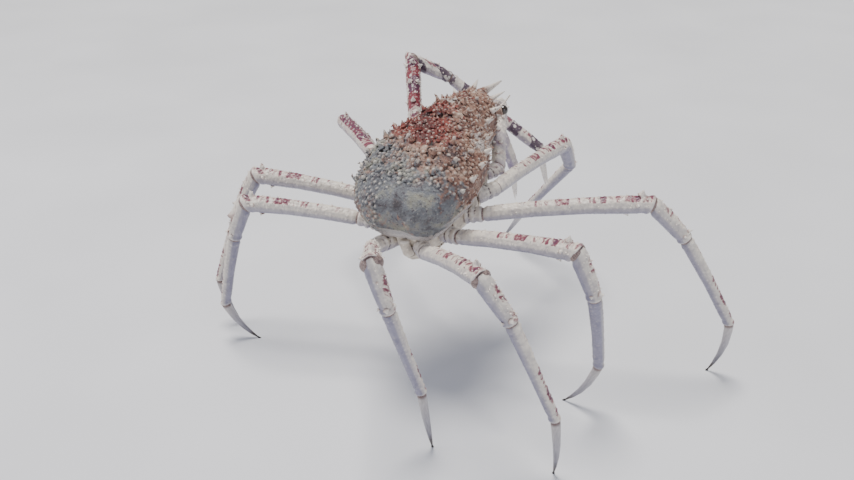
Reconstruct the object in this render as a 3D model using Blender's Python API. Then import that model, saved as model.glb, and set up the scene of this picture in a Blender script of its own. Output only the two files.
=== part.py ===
"""Japanese spider crab, life size, standing with its claws hung before its face.

The crab faces -Y, its left side is +X and the floor is z = 0. All lengths are worked out from the
carapace length. The body has its own axes (left, forward, up), which the stance tips and lifts.
"""

import math
import random

import bmesh
import bpy
from mathutils import Matrix, Vector

# Driving dimensions, in metres and degrees
CARAPACE_LENGTH = 0.26
BODY_HEIGHT = 0.281
NOSE_UP = 18
LEFT_SIDE_DOWN = 7
GAP = 0.0003
FOOT_RADIUS = 0.0022

# Sections of the limbs, as parts of the carapace length
LEG_THICKNESS = 0.083
LEG_SIDES = 10
CLAW_SIDES = 10

# Bends of each walking leg from the shell outwards: azimuth and elevation in degrees of ischium,
# merus, carpus, propodus and dactyl, where 0 is straight ahead and left is positive. The merus
# has no elevation here, because the foot's place on the floor sets it.
LEG_POSE = {
    ("left", 1): ((72, 8), (49, None), (-14, -44), (-24, -54), (-34, -58)),
    ("left", 2): ((92, 6), (108, None), (114, -64), (117, -71), (-79, -66)),
    ("left", 3): ((104, 6), (112, None), (102, -69), (96, -77), (-63, -52)),
    ("left", 4): ((168, 3), (-148, None), (-64, -74), (-20, -70), (-34, -80)),
    ("right", 1): ((-30, 6), (-4, None), (6, -50), (68, -50), (62, -54)),
    ("right", 2): ((-76, 8), (-71, None), (-62, -46), (-60, -60), (60, -74)),
    ("right", 3): ((-108, 8), (-103, None), (-62, -68), (4, -68), (80, -58)),
    ("right", 4): ((-140, 8), (-133, None), (-60, -58), (-60, -67), (10, -82)),
}
# Lengths of those five pieces, as parts of the carapace length
LEG_LENGTHS = {
    ("left", 1): (0.19, 0.80, 0.25, 0.56, 0.34),
    ("left", 2): (0.16, 0.62, 0.24, 0.46, 0.30),
    ("left", 3): (0.16, 0.60, 0.23, 0.44, 0.28),
    ("left", 4): (0.12, 0.78, 0.24, 0.54, 0.34),
    ("right", 1): (0.09, 0.80, 0.25, 0.58, 0.36),
    ("right", 2): (0.09, 0.83, 0.26, 0.56, 0.36),
    ("right", 3): (0.11, 0.70, 0.25, 0.52, 0.34),
    ("right", 4): (0.11, 0.78, 0.25, 0.55, 0.34),
}
# Where each leg leaves the breast plate: left and forward of the body's middle
LEG_ROOT = {1: (0.225, 0.07), 2: (0.215, -0.10), 3: (0.165, -0.25), 4: (0.095, -0.36)}
ROOT_UP = -0.20
# The shell has swung forward and to the right of the hips, and its middle plane is raised
BODY_SWAY = (-0.035, 0.035)
SHELL_RAISED = 0.05

CLAW_POSE = {
    "left": ((66, 8), (32, 41), (-56, -26), (-76, -35), (-50, -76)),
    "right": ((-24, 5), (26, 36), (39, -29), (-43, -67), (-20, -80)),
}
CLAW_LENGTHS = {
    "left": (0.13, 0.62, 0.24, 0.68, 0.25),
    "right": (0.10, 0.40, 0.20, 0.38, 0.24),
}
CLAW_ROOT = (0.165, 0.225)

ROOT_DEPTH = 0.06

# The shell: stations from its rear edge (-0.5) to the root of the rostrum (0.5), with its half
# width, the height of its midline and the depth of its under side, in carapace lengths
SHELL_WIDTH = (
    (-0.50, 0.11), (-0.47, 0.175), (-0.40, 0.25), (-0.28, 0.307), (-0.14, 0.321), (0.0, 0.304),
    (0.12, 0.252), (0.21, 0.197), (0.29, 0.170), (0.38, 0.158), (0.46, 0.1275), (0.52, 0.064),
)
SHELL_CROWN = (
    (-0.50, -0.02), (-0.47, 0.050), (-0.40, 0.115), (-0.28, 0.162), (-0.14, 0.182), (0.0, 0.184),
    (0.12, 0.174), (0.22, 0.154), (0.32, 0.127), (0.40, 0.102), (0.47, 0.075), (0.52, 0.050),
)
UNDER_DEPTH = 0.19
SHELL_DEPTH = (
    (-0.50, 0.06), (-0.46, 0.13), (-0.42, UNDER_DEPTH), (0.40, UNDER_DEPTH), (0.46, 0.13),
    (0.52, 0.03),
)
SHELL_STATIONS = (
    -0.50, -0.485, -0.46, -0.42, -0.35, -0.26, -0.16, -0.06, 0.03, 0.10, 0.16, 0.23, 0.30, 0.36,
    0.40, 0.44, 0.475, 0.505, 0.52,
)
SHELL_SIDES = 28
UNDERCUT = 0.22
UNDER_FLAT = 1.25
GROOVE_FORWARD, GROOVE_SWEEP, GROOVE_WIDTH, GROOVE_DEPTH = 0.09, 1.8, 0.04, 0.024
# Swollen regions of the back: left, forward, reach and height. Each has its mirror image.
SHELL_SWELLINGS = ((0.18, -0.17, 0.11, 0.022), (0.0, -0.08, 0.06, 0.014), (0.04, 0.24, 0.08, 0.016))

STERNUM_STATIONS = (-0.42, -0.39, -0.33, -0.24, -0.12, 0.0, 0.10, 0.18, 0.24)
STERNUM_WIDTH = ((-0.42, 0.055), (-0.36, 0.10), (-0.25, 0.165), (-0.10, 0.205), (0.07, 0.19),
                 (0.18, 0.16), (0.24, 0.14))
STERNUM_FLOOR = ((-0.42, -0.235), (-0.36, -0.262), (-0.24, -0.275), (0.10, -0.270), (0.24, -0.235))

# The tail flap's middle line: forward, up and half width
FLAP_PATH = (
    (-0.432, -0.146, 0.026), (-0.438, -0.185, 0.029), (-0.432, -0.228, 0.036),
    (-0.410, -0.262, 0.062), (-0.350, -0.284, 0.096), (-0.25, -0.292, 0.106),
    (-0.12, -0.291, 0.085), (0.02, -0.287, 0.055), (0.11, -0.282, 0.028),
)
FLAP_THICKNESS = 0.010

# Spines of the shell's edge and face: left, forward, length, radius and the way they point
# (left, forward, up), all in carapace lengths. Each has its mirror image.
EDGE_SPINES = (
    (0.027, 0.500, 0.145, 0.023, (0.36, 1.0, -0.35)),
    (0.100, 0.470, 0.075, 0.017, (0.78, 0.70, 0.0)),
    (0.150, 0.375, 0.058, 0.018, (1.0, 0.40, 0.15)),
    (0.165, 0.290, 0.048, 0.017, (1.0, 0.20, 0.30)),
    (0.230, 0.140, 0.046, 0.018, (1.0, 0.12, 0.40)),
    (0.285, 0.035, 0.046, 0.018, (1.0, 0.05, 0.45)),
    (0.315, -0.070, 0.044, 0.017, (1.0, -0.05, 0.50)),
    (0.318, -0.175, 0.040, 0.017, (1.0, -0.15, 0.55)),
    (0.300, -0.275, 0.036, 0.016, (1.0, -0.30, 0.55)),
)
# Tall tubercles of the back: left, forward and length. Those off the midline have a mirror image.
BACK_SPINES = (
    (0.0, 0.325, 0.030), (0.0, 0.215, 0.036), (0.0, 0.135, 0.030), (0.0, -0.045, 0.034),
    (0.0, -0.125, 0.034), (0.0, -0.300, 0.030), (0.075, 0.265, 0.034), (0.120, 0.190, 0.036),
    (0.060, 0.150, 0.026), (0.095, 0.340, 0.030), (0.130, 0.000, 0.034), (0.215, 0.040, 0.036),
    (0.190, -0.080, 0.038), (0.265, -0.060, 0.034), (0.240, -0.180, 0.036), (0.150, -0.190, 0.034),
    (0.185, -0.280, 0.030), (0.095, -0.265, 0.028),
)
BACK_SPINE_RADIUS = 0.016
TUBERCLE_COUNT = 64
TUBERCLE_SPACING = 0.050
TUBERCLE_HEIGHT = (0.013, 0.022)
TUBERCLE_RADIUS = (0.011, 0.015)
TUBERCLE_ZONE = (-0.37, 0.42)
SPINE_SIDES = 5
SPINE_ROOT = 0.016

# Spines of the limb pieces: place along the piece, turn round it in degrees (90 is up, 270 is
# under), height in carapace lengths
LIMB_SPINES = {
    "merus": ((0.945, 90, 0.034), (0.85, 264, 0.020), (0.92, 15, 0.016), (0.92, 165, 0.016),
              (0.70, 78, 0.011), (0.46, 102, 0.011), (0.24, 80, 0.010)),
    "carpus": ((0.90, 90, 0.020), (0.88, 20, 0.013), (0.88, 160, 0.013), (0.30, 95, 0.010)),
}
CLAW_SPINES = {
    "merus": ((0.94, 90, 0.030), (0.93, 150, 0.024), (0.92, 30, 0.022), (0.74, 120, 0.022),
              (0.74, 60, 0.018), (0.54, 100, 0.022), (0.54, 170, 0.016), (0.34, 75, 0.018),
              (0.34, 130, 0.016), (0.18, 100, 0.016)),
    "carpus": ((0.80, 90, 0.022), (0.62, 30, 0.018), (0.62, 150, 0.018), (0.30, 100, 0.016)),
}
LIMB_SPINE_SLENDER = 0.62

EYE_ROOT = (0.100, 0.410, -0.025)
EYE_PROFILE = (
    (0, 0.014), (0.052, 0.014), (0.062, 0.019), (0.074, 0.0245), (0.088, 0.0255), (0.100, 0.021),
    (0.109, 0.012), (0.112, 0.003),
)
ANTENNA_ROOT = (0.060, 0.455, -0.050)
MOUTH_SPLIT = 0.0016
MOUTH_UP = -0.165
MOUTH_PROFILE = ((0.235, 0.035, 0.030), (0.28, 0.045, 0.042), (0.34, 0.045, 0.044),
                 (0.385, 0.040, 0.040), (0.42, 0.028, 0.030), (0.435, 0.014, 0.016))

# Half width and half height of each claw piece, in half leg thicknesses
CLAW_PROFILE = {
    "ischium": ((0, 0.95, 0.95), (0.4, 1.0, 1.0), (1, 0.88, 0.88)),
    "merus": ((0, 0.80, 0.80), (0.12, 0.90, 0.92), (0.45, 0.94, 1.0), (0.84, 1.04, 1.10),
              (1, 0.98, 0.98)),
    "carpus": ((0, 0.92, 0.92), (0.4, 0.98, 1.04), (0.75, 0.90, 0.96), (1, 0.78, 0.80)),
    "palm": ((0, 0.74, 0.76), (0.12, 0.82, 0.88), (0.5, 0.86, 1.02), (0.85, 0.84, 1.12),
             (1, 0.70, 1.0)),
}
FINGER_PROFILE = ((0, 1.0), (0.2, 0.98), (0.45, 0.82), (0.7, 0.60), (0.88, 0.38), (1, 0.10))
CLAW_BOW = 0.02
FINGER_OPEN = 0.16
FINGER_HOOK = 0.10

crab = bpy.data.collections.new("japanese_spider_crab")


def clear_scene():
    for old in list(bpy.data.objects):
        bpy.data.objects.remove(old, do_unlink=True)
    bpy.context.scene.collection.children.link(crab)


def finish_material(name, colour, roughness):
    material = bpy.data.materials.new(name)
    material.use_nodes = True
    shader = material.node_tree.nodes["Principled BSDF"]
    shader.inputs["Base Color"].default_value = (*colour, 1)
    shader.inputs["Roughness"].default_value = roughness
    return material


def heading(azimuth, elevation):
    """The unit direction that points this far round to the left of ahead, and this far up."""
    turn, rise = math.radians(azimuth), math.radians(elevation)
    flat = math.cos(rise)
    return Vector((math.sin(turn) * flat, -math.cos(turn) * flat, math.sin(rise)))


# The body's own axes as columns, tipped back and to the left
STANCE = (
    Matrix.Rotation(math.radians(NOSE_UP), 3, Vector((-1, 0, 0)))
    @ Matrix.Rotation(math.radians(LEFT_SIDE_DOWN), 3, Vector((0, 1, 0)))
)


def on_body(left, forward, up):
    """A point given along the body's axes, in carapace lengths from its middle, in world metres."""
    along = Vector((left + BODY_SWAY[0], -forward - BODY_SWAY[1], up))
    return STANCE @ (along * CARAPACE_LENGTH) + Vector((0, 0, BODY_HEIGHT))


def on_shell(left, forward, up):
    return on_body(left, forward, up + SHELL_RAISED)


def hip(left, forward):
    """The root of a limb, which stays where the limbs carry the body when the shell sways."""
    return on_body(left - BODY_SWAY[0], forward - BODY_SWAY[1], ROOT_UP)


def along_body(left, forward, up):
    return (STANCE @ Vector((left, -forward, up))).normalized()


def closed_loft(name, rings):
    """A closed mesh object over rings of equal size, capped flat at both ends."""
    mesh = bmesh.new()
    rows = [[mesh.verts.new(point) for point in ring] for ring in rings]
    sides = len(rows[0])
    for near, far in zip(rows, rows[1:]):
        for k in range(sides):
            mesh.faces.new((near[k], near[(k + 1) % sides], far[(k + 1) % sides], far[k]))
    mesh.faces.new(rows[0][::-1])
    mesh.faces.new(rows[-1])
    bmesh.ops.recalc_face_normals(mesh, faces=mesh.faces)
    data = bpy.data.meshes.new(name)
    mesh.to_mesh(data)
    mesh.free()
    made = bpy.data.objects.new(name, data)
    crab.objects.link(made)
    return made


def limb_frame(axis, side):
    """Two directions square to a limb piece's axis: across the bend, and up out of it."""
    across = (side - side.dot(axis) * axis).normalized()
    return across, across.cross(axis).normalized()


def section(middle, axis, side, half_width, half_height, count, plane=None):
    """A ring of points round a limb piece. With a plane normal, each point slides along the axis
    to that plane, so two pieces that share it meet face to face."""
    across, upward = limb_frame(axis, side)
    ring = []
    for k in range(count):
        turn = 2 * math.pi * k / count
        offset = across * (half_width * math.cos(turn)) + upward * (half_height * math.sin(turn))
        if plane is not None:
            offset -= axis * (offset.dot(plane) / axis.dot(plane))
        ring.append(middle + offset)
    return ring


def limb_piece(name, start, end, start_plane, end_plane, side, profile, count, bow=0.0):
    """One hard piece of a limb. The profile lists, from 0 to 1 along it, its half width and half
    height in carapace lengths. Its ends lie on the planes that it shares with its neighbours."""
    axis = (end - start).normalized()
    length = (end - start).length
    _, upward = limb_frame(axis, side)
    rings = []
    for k, (along, wide, high) in enumerate(profile):
        middle = start.lerp(end, along) + upward * (bow * length * 4 * along * (1 - along))
        plane = None
        if k == 0:
            plane = start_plane
            middle = start + start_plane * (GAP / 2)
        elif k == len(profile) - 1:
            plane = end_plane
            middle = end - end_plane * (GAP / 2)
        sizes = (wide * CARAPACE_LENGTH, high * CARAPACE_LENGTH)
        rings.append(section(middle, axis, side, *sizes, count, plane))
    return closed_loft(name, rings)


def shared_plane(before, after):
    return (before + after).normalized()


T = LEG_THICKNESS / 2
PIECE_PROFILE = {
    "ischium": ((0, 1.0, 1.0), (0.30, 1.12, 1.15), (0.62, 0.98, 1.0), (1, 0.90, 0.92)),
    "merus": (
        (0, 0.84, 0.86), (0.09, 0.94, 0.98), (0.30, 0.92, 0.98),
        (0.62, 0.94, 1.02), (0.86, 1.04, 1.12), (1, 1.02, 1.02),
    ),
    "carpus": ((0, 0.98, 0.98), (0.34, 1.00, 1.06), (0.68, 0.92, 1.00), (1, 0.84, 0.86)),
    "propodus": (
        (0, 0.80, 0.82), (0.16, 0.80, 0.84), (0.50, 0.70, 0.74), (0.88, 0.66, 0.70), (1, 0.62, 0.62),
    ),
    "dactyl": (
        (0, 0.60, 0.60), (0.12, 0.54, 0.57), (0.38, 0.46, 0.48), (0.62, 0.34, 0.36),
        (0.82, 0.22, 0.23), (0.95, 0.12, 0.12), (1, 0, 0),
    ),
}
PIECE_NAMES = ("ischium", "merus", "carpus", "propodus", "dactyl")
PIECE_BOW = {"ischium": 0, "merus": 0.018, "carpus": 0.02, "propodus": 0.012, "dactyl": 0.075}


def thickened(piece):
    return [(along, wide * T, high * T) for along, wide, high in PIECE_PROFILE[piece]]


def leg_joints(side, number):
    """The joints of a walking leg from its root to its foot, with the foot on the floor."""
    sign = 1 if side == "left" else -1
    left, forward = LEG_ROOT[number]
    joints = [hip(sign * left, forward)]
    bends = LEG_POSE[side, number]
    lengths = [part * CARAPACE_LENGTH for part in LEG_LENGTHS[side, number]]
    steps = [
        None if elevation is None else heading(azimuth, elevation) * length
        for (azimuth, elevation), length in zip(bends, lengths)
    ]
    drop = joints[0].z + sum(step.z for step in steps if step is not None)
    merus_rise = math.degrees(math.asin(-drop / lengths[1]))
    steps[1] = heading(bends[1][0], merus_rise) * lengths[1]
    for step in steps:
        joints.append(joints[-1] + step)
    return joints


def walking_leg(side, number, shell):
    joints = leg_joints(side, number)
    axes = [(b - a).normalized() for a, b in zip(joints, joints[1:])]
    across = Vector((axes[1].x, axes[1].y, 0)).normalized().cross(Vector((0, 0, 1)))
    planes = [axes[0], *(shared_plane(a, b) for a, b in zip(axes, axes[1:])), Vector((0, 0, -1))]
    joints[0] -= axes[0] * (ROOT_DEPTH * CARAPACE_LENGTH)
    joints[5].z -= GAP / 2
    for k, piece in enumerate(PIECE_NAMES):
        profile = thickened(piece)
        if piece == "dactyl":
            foot = FOOT_RADIUS / CARAPACE_LENGTH
            profile[-1] = (1, foot, foot)
        name = f"leg_{side}_{number}_{piece}"
        made = limb_piece(name, joints[k], joints[k + 1], planes[k], planes[k + 1], across,
                          profile, LEG_SIDES, PIECE_BOW[piece])
        if piece == "ischium":
            cut_clear(made, shell)
        if piece in LIMB_SPINES:
            fuse(made, limb_spines(joints[k], joints[k + 1], across, profile, PIECE_BOW[piece],
                                   LIMB_SPINES[piece]))


def claw_joints(side):
    sign = 1 if side == "left" else -1
    joints = [hip(sign * CLAW_ROOT[0], CLAW_ROOT[1])]
    for (azimuth, elevation), part in zip(CLAW_POSE[side], CLAW_LENGTHS[side]):
        joints.append(joints[-1] + heading(azimuth, elevation) * (part * CARAPACE_LENGTH))
    return joints


def claw(side, shell):
    """A claw limb: ischium, merus, carpus, a palm with its fixed finger, and the moving finger."""
    joints = claw_joints(side)
    axes = [(b - a).normalized() for a, b in zip(joints, joints[1:])]
    across = Vector((axes[1].x, axes[1].y, 0)).normalized().cross(Vector((0, 0, 1)))
    planes = [axes[0], *(shared_plane(a, b) for a, b in zip(axes[:3], axes[1:4])), axes[3]]
    joints[0] -= axes[0] * (ROOT_DEPTH * CARAPACE_LENGTH)
    for k, piece in enumerate(("ischium", "merus", "carpus", "palm")):
        profile = [(along, wide * T, high * T) for along, wide, high in CLAW_PROFILE[piece]]
        made = limb_piece(f"claw_{side}_{piece}", joints[k], joints[k + 1], planes[k],
                          planes[k + 1], across, profile, CLAW_SIDES, CLAW_BOW)
        if piece == "ischium":
            cut_clear(made, shell)
        if piece in CLAW_SPINES:
            fuse(made, limb_spines(joints[k], joints[k + 1], across, profile, CLAW_BOW,
                                   CLAW_SPINES[piece]))
    hinge, axis = joints[4], axes[3]
    upward = limb_frame(axis, across)[1]
    reach = CLAW_LENGTHS[side][4] * CARAPACE_LENGTH
    palm = made
    half = CLAW_PROFILE["palm"][-1][2] * T * CARAPACE_LENGTH
    hang = heading(*CLAW_POSE[side][4])
    outward = (upward - hang * upward.dot(hang)).normalized()
    fixed = finger(f"fixed_finger_{side}", hinge - upward * (half * 0.46) - axis * half * 0.8,
                   hang - outward * 0.05, outward, reach + half * 0.8, half * 0.50)
    fuse(palm, [fixed])
    moving = finger(f"claw_{side}_finger", hinge + upward * (half * 0.52) + axis * (GAP / 2),
                    hang + outward * FINGER_OPEN, -outward, reach, half * 0.44, axis)
    cut_clear(moving, [palm])


def finger(name, start, axis, inward, length, thickness, root_plane=None):
    """A claw finger: a tapering, slightly hooked cone. Its root may lie on a given plane."""
    axis = axis.normalized()
    sideways = axis.cross(inward).normalized()
    rings = []
    for along, size in FINGER_PROFILE:
        middle = start + axis * (length * along) + inward * (length * FINGER_HOOK * along ** 3)
        plane = root_plane if along == 0 else None
        rings.append(section(middle, axis, sideways, thickness * size, thickness * size, 8, plane))
    return closed_loft(name, rings)


def smooth_value(points, at):
    """The value at this place on a smooth curve through a few (place, value) pairs."""
    places = [place for place, _ in points]
    values = [value for _, value in points]
    if at <= places[0]:
        return values[0]
    if at >= places[-1]:
        return values[-1]
    k = max(index for index, place in enumerate(places[:-1]) if place <= at)

    def slope(index):
        before, after = max(index - 1, 0), min(index + 1, len(places) - 1)
        return (values[after] - values[before]) / (places[after] - places[before])

    span = places[k + 1] - places[k]
    t = (at - places[k]) / span
    ease = t * t * (3 - 2 * t)
    start_bend = (t ** 3 - 2 * t ** 2 + t) * span * slope(k)
    end_bend = (t ** 3 - t ** 2) * span * slope(k + 1)
    return values[k] * (1 - ease) + values[k + 1] * ease + start_bend + end_bend


def swelling(left, forward, bump):
    at_left, at_forward, reach, height = bump
    away = ((left - at_left) ** 2 + (forward - at_forward) ** 2) / reach ** 2
    return height * math.exp(-away)


def shell_height(left, forward):
    """Height of the shell's back over the body's middle plane, in carapace lengths."""
    wide = smooth_value(SHELL_WIDTH, forward)
    crown = smooth_value(SHELL_CROWN, forward)
    across = min(abs(left) / wide, 1)
    height = crown * (1 - across ** 2.3) ** 0.62
    groove_at = GROOVE_FORWARD + GROOVE_SWEEP * left ** 2
    height -= GROOVE_DEPTH * math.exp(-((forward - groove_at) / GROOVE_WIDTH) ** 2) * (1 - across)
    for bump in SHELL_SWELLINGS:
        height += swelling(abs(left), forward, bump) * (1 - across ** 4)
    return height


def shell_ring(forward):
    """One closed ring round the shell, from its left edge over the back and under again."""
    wide = smooth_value(SHELL_WIDTH, forward)
    depth = min(smooth_value(SHELL_DEPTH, forward), UNDER_DEPTH)
    ring = []
    for k in range(SHELL_SIDES):
        turn = 2 * math.pi * k / SHELL_SIDES
        reach, rise = math.cos(turn), math.sin(turn)
        left = wide * math.copysign(abs(reach) ** 0.85, reach)
        if rise >= -1e-6:
            ring.append(on_shell(left, forward, shell_height(left, forward)))
        else:
            left *= 1 - UNDERCUT * abs(rise)
            down = depth * min(1, UNDER_FLAT * abs(rise) ** 0.7)
            ring.append(on_shell(left, forward, -down))
    return ring


def carapace():
    rings = [shell_ring(forward) for forward in SHELL_STATIONS]
    return closed_loft("carapace", rings)


def sternum():
    rings = []
    for forward in STERNUM_STATIONS:
        wide = smooth_value(STERNUM_WIDTH, forward)
        top = SHELL_RAISED - UNDER_DEPTH - GAP / CARAPACE_LENGTH
        low = smooth_value(STERNUM_FLOOR, forward)
        outline = ((1, top), (1, top * 0.5 + low * 0.5), (0.93, low * 0.85 + top * 0.15),
                   (0.62, low), (0.2, low + 0.004))
        ring = [on_body(wide * part, forward, up) for part, up in outline]
        ring += [on_body(-wide * part, forward, up) for part, up in outline[::-1]]
        rings.append(ring)
    return closed_loft("sternum", rings)


def abdomen(neighbours):
    """The tail flap: narrow between the last legs, then wider where it folds under the breast."""
    rings = []
    count = len(FLAP_PATH)
    for k, (forward, up, half_width) in enumerate(FLAP_PATH):
        before, after = FLAP_PATH[max(k - 1, 0)], FLAP_PATH[min(k + 1, count - 1)]
        run = along_body(0, after[0] - before[0], after[1] - before[1])
        across = along_body(1, 0, 0)
        middle = on_body(0, forward, up)
        rings.append(section(middle, run, across, half_width * CARAPACE_LENGTH,
                             FLAP_THICKNESS / 2, 12))
    made = closed_loft("abdomen", rings)
    cut_clear(made, neighbours)


def eye(side, shell):
    """A short stalk with a round cornea, set under the shell's brow."""
    sign = 1 if side == "left" else -1
    root = on_shell(sign * EYE_ROOT[0], EYE_ROOT[1], EYE_ROOT[2])
    axis = along_body(sign * 0.90, 0.45, 0.06)
    across = along_body(0, 0, 1)
    rings = []
    for along, size in EYE_PROFILE:
        middle = root + axis * (along * CARAPACE_LENGTH)
        rings.append(section(middle, axis, across, size * CARAPACE_LENGTH,
                             size * CARAPACE_LENGTH, 12))
    made = closed_loft(f"eye_{side}", rings)
    cut_clear(made, shell)


def antenna(side, shell):
    """A jointed base under the brow that tapers to a whip, curved up and outwards."""
    sign = 1 if side == "left" else -1
    rings = []
    count = 9
    for k in range(count):
        t = k / (count - 1)
        left = ANTENNA_ROOT[0] + 0.045 * t + 0.030 * t * t
        forward = ANTENNA_ROOT[1] + 0.19 * t - 0.03 * t * t
        up = ANTENNA_ROOT[2] - 0.12 * t + 0.13 * t * t
        size = 0.0125 * (1 - t) ** 1.5 + 0.0042
        axis = along_body(sign * (0.045 + 0.06 * t), 0.19 - 0.06 * t, 0.26 * t - 0.12)
        middle = on_shell(sign * left, forward, up)
        rings.append(section(middle, axis, along_body(0, 0, 1), size * CARAPACE_LENGTH,
                             size * CARAPACE_LENGTH, 7))
    made = closed_loft(f"antenna_{side}", rings)
    cut_clear(made, shell)


def mouthpart(side, body):
    """The outer mouth leg of one side: a long plate that closes half of the mouth."""
    sign = 1 if side == "left" else -1
    rings = []
    for forward, half_width, depth in MOUTH_PROFILE:
        middle_left = sign * (half_width + MOUTH_SPLIT)
        ring = []
        for k in range(10):
            turn = 2 * math.pi * k / 10
            left = middle_left + half_width * math.copysign(abs(math.cos(turn)) ** 0.7,
                                                            math.cos(turn))
            up = MOUTH_UP + depth * math.copysign(abs(math.sin(turn)) ** 0.7, math.sin(turn))
            ring.append(on_body(left, forward, up))
        rings.append(ring)
    made = closed_loft(f"mouthpart_{side}", rings)
    cut_clear(made, body)


def spine(root, axis, length, radius, lean):
    """One closed spine: a five-sided cone in two steps whose tip leans over. Its root is sunk."""
    axis = axis.normalized()
    across = axis.orthogonal()
    depth = SPINE_ROOT * CARAPACE_LENGTH
    rings = []
    for along, size in ((-depth, 1.0), (length * 0.5, 0.62), (length, 0.10)):
        bent = lean * (max(along, 0) / length) ** 2
        middle = root + axis * along + bent
        rings.append(section(middle, axis, across, radius * size, radius * size, SPINE_SIDES))
    return closed_loft("spine", rings)


def back_normal(left, forward):
    """The direction straight out of the shell's back at a place on it."""
    step = 0.012
    sideways = shell_place(left + step, forward) - shell_place(left - step, forward)
    ahead = shell_place(left, forward + step) - shell_place(left, forward - step)
    return sideways.cross(ahead).normalized() * -1


def shell_place(left, forward):
    return on_shell(left, forward, shell_height(left, forward))


def shell_spines():
    """The shell's named spines, and seeded random tubercles between them."""
    made = []
    for left, forward, length, radius, points in EDGE_SPINES:
        for sign in (1, -1):
            wide = smooth_value(SHELL_WIDTH, forward)
            edge = min(left, wide * 0.97)
            place = on_shell(sign * edge, forward, shell_height(edge, forward) * 0.8)
            axis = along_body(sign * points[0], points[1], points[2])
            lean = along_body(0, 0.25, 0.10) * (0.25 * length * CARAPACE_LENGTH)
            made.append(spine(place, axis, length * CARAPACE_LENGTH, radius * CARAPACE_LENGTH, lean))
    taken = []
    for left, forward, length in BACK_SPINES:
        for sign in (1, -1) if left else (1,):
            taken.append((sign * left, forward))
            made.append(back_spine(sign * left, forward, length, BACK_SPINE_RADIUS))
    chance = random.Random(7)
    count = 0
    while count < TUBERCLE_COUNT:
        forward = chance.uniform(*TUBERCLE_ZONE)
        left = chance.uniform(-0.86, 0.86) * smooth_value(SHELL_WIDTH, forward)
        if all(math.hypot(left - a, forward - b) > TUBERCLE_SPACING for a, b in taken):
            taken.append((left, forward))
            height, radius = chance.uniform(*TUBERCLE_HEIGHT), chance.uniform(*TUBERCLE_RADIUS)
            made.append(back_spine(left, forward, height, radius))
            count += 1
    return made


def back_spine(left, forward, length, radius):
    out = back_normal(left, forward)
    lean = along_body(0, 0.3, 0) * (0.2 * length * CARAPACE_LENGTH)
    place = shell_place(left, forward)
    return spine(place, out, length * CARAPACE_LENGTH, radius * CARAPACE_LENGTH, lean)


def limb_spines(start, end, side, profile, bow, spines):
    """Spines on one limb piece, set on its surface and leaning towards its far end."""
    axis = (end - start).normalized()
    across, upward = limb_frame(axis, side)
    made = []
    for along, turn, height in spines:
        wide = smooth_value([(at, half) for at, half, _ in profile], along) * CARAPACE_LENGTH
        high = smooth_value([(at, half) for at, _, half in profile], along) * CARAPACE_LENGTH
        turn = math.radians(turn)
        middle = start.lerp(end, along) + upward * (bow * (end - start).length * 4 * along * (1 - along))
        outward = across * (wide * math.cos(turn)) + upward * (high * math.sin(turn))
        length = height * CARAPACE_LENGTH
        root = middle + outward * 0.96
        made.append(spine(root, outward, length, length * LIMB_SPINE_SLENDER, axis * (0.25 * length)))
    return made


def apply_modifiers(target):
    """Puts the shape that its modifiers give into the object's own mesh."""
    graph = bpy.context.evaluated_depsgraph_get()
    shaped = bpy.data.meshes.new_from_object(target.evaluated_get(graph))
    target.modifiers.clear()
    old = target.data
    target.data = shaped
    bpy.data.meshes.remove(old)
    keep_largest(target)


def keep_largest(target):
    """Drops every closed surface of a mesh but the largest."""
    mesh = bmesh.new()
    mesh.from_mesh(target.data)
    mesh.verts.ensure_lookup_table()
    left_over, groups = set(mesh.verts), []
    while left_over:
        first = left_over.pop()
        group, waiting = {first}, [first]
        while waiting:
            for edge in waiting.pop().link_edges:
                for vertex in edge.verts:
                    if vertex in left_over:
                        left_over.discard(vertex)
                        group.add(vertex)
                        waiting.append(vertex)
        groups.append(group)
    largest = max(groups, key=len)
    extra = [vertex for group in groups if group is not largest for vertex in group]
    bmesh.ops.delete(mesh, geom=extra, context="VERTS")
    mesh.to_mesh(target.data)
    mesh.free()


def inflated(source):
    """A copy of a solid grown by the gap, to cut its neighbours clear of it."""
    mesh = bmesh.new()
    mesh.from_mesh(source.data)
    mesh.normal_update()
    for vertex, shift in [(v, v.normal * (GAP * v.calc_shell_factor())) for v in mesh.verts]:
        vertex.co += shift
    data = bpy.data.meshes.new(source.name + "_grown")
    mesh.to_mesh(data)
    mesh.free()
    grown = bpy.data.objects.new(data.name, data)
    grown.hide_render = True
    crab.objects.link(grown)
    return grown


def cut_clear(target, others):
    """Cuts a piece back from its neighbours' grown copies, so their faces meet across the gap."""
    for other in others:
        grown = inflated(other)
        cut = target.modifiers.new("clear of neighbour", "BOOLEAN")
        cut.operation = "DIFFERENCE"
        cut.solver = "MANIFOLD"
        cut.object = grown
        apply_modifiers(target)
        bpy.data.objects.remove(grown, do_unlink=True)


def fuse(target, pieces):
    """Joins closed pieces to a node by one union, and removes them."""
    together = bpy.data.collections.new(target.name + "_forms")
    for piece in pieces:
        crab.objects.unlink(piece)
        together.objects.link(piece)
    union = target.modifiers.new("fused forms", "BOOLEAN")
    union.operation = "UNION"
    union.operand_type = "COLLECTION"
    union.solver = "MANIFOLD"
    union.collection = together
    apply_modifiers(target)
    for piece in pieces:
        bpy.data.objects.remove(piece, do_unlink=True)
    bpy.data.collections.remove(together)


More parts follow.
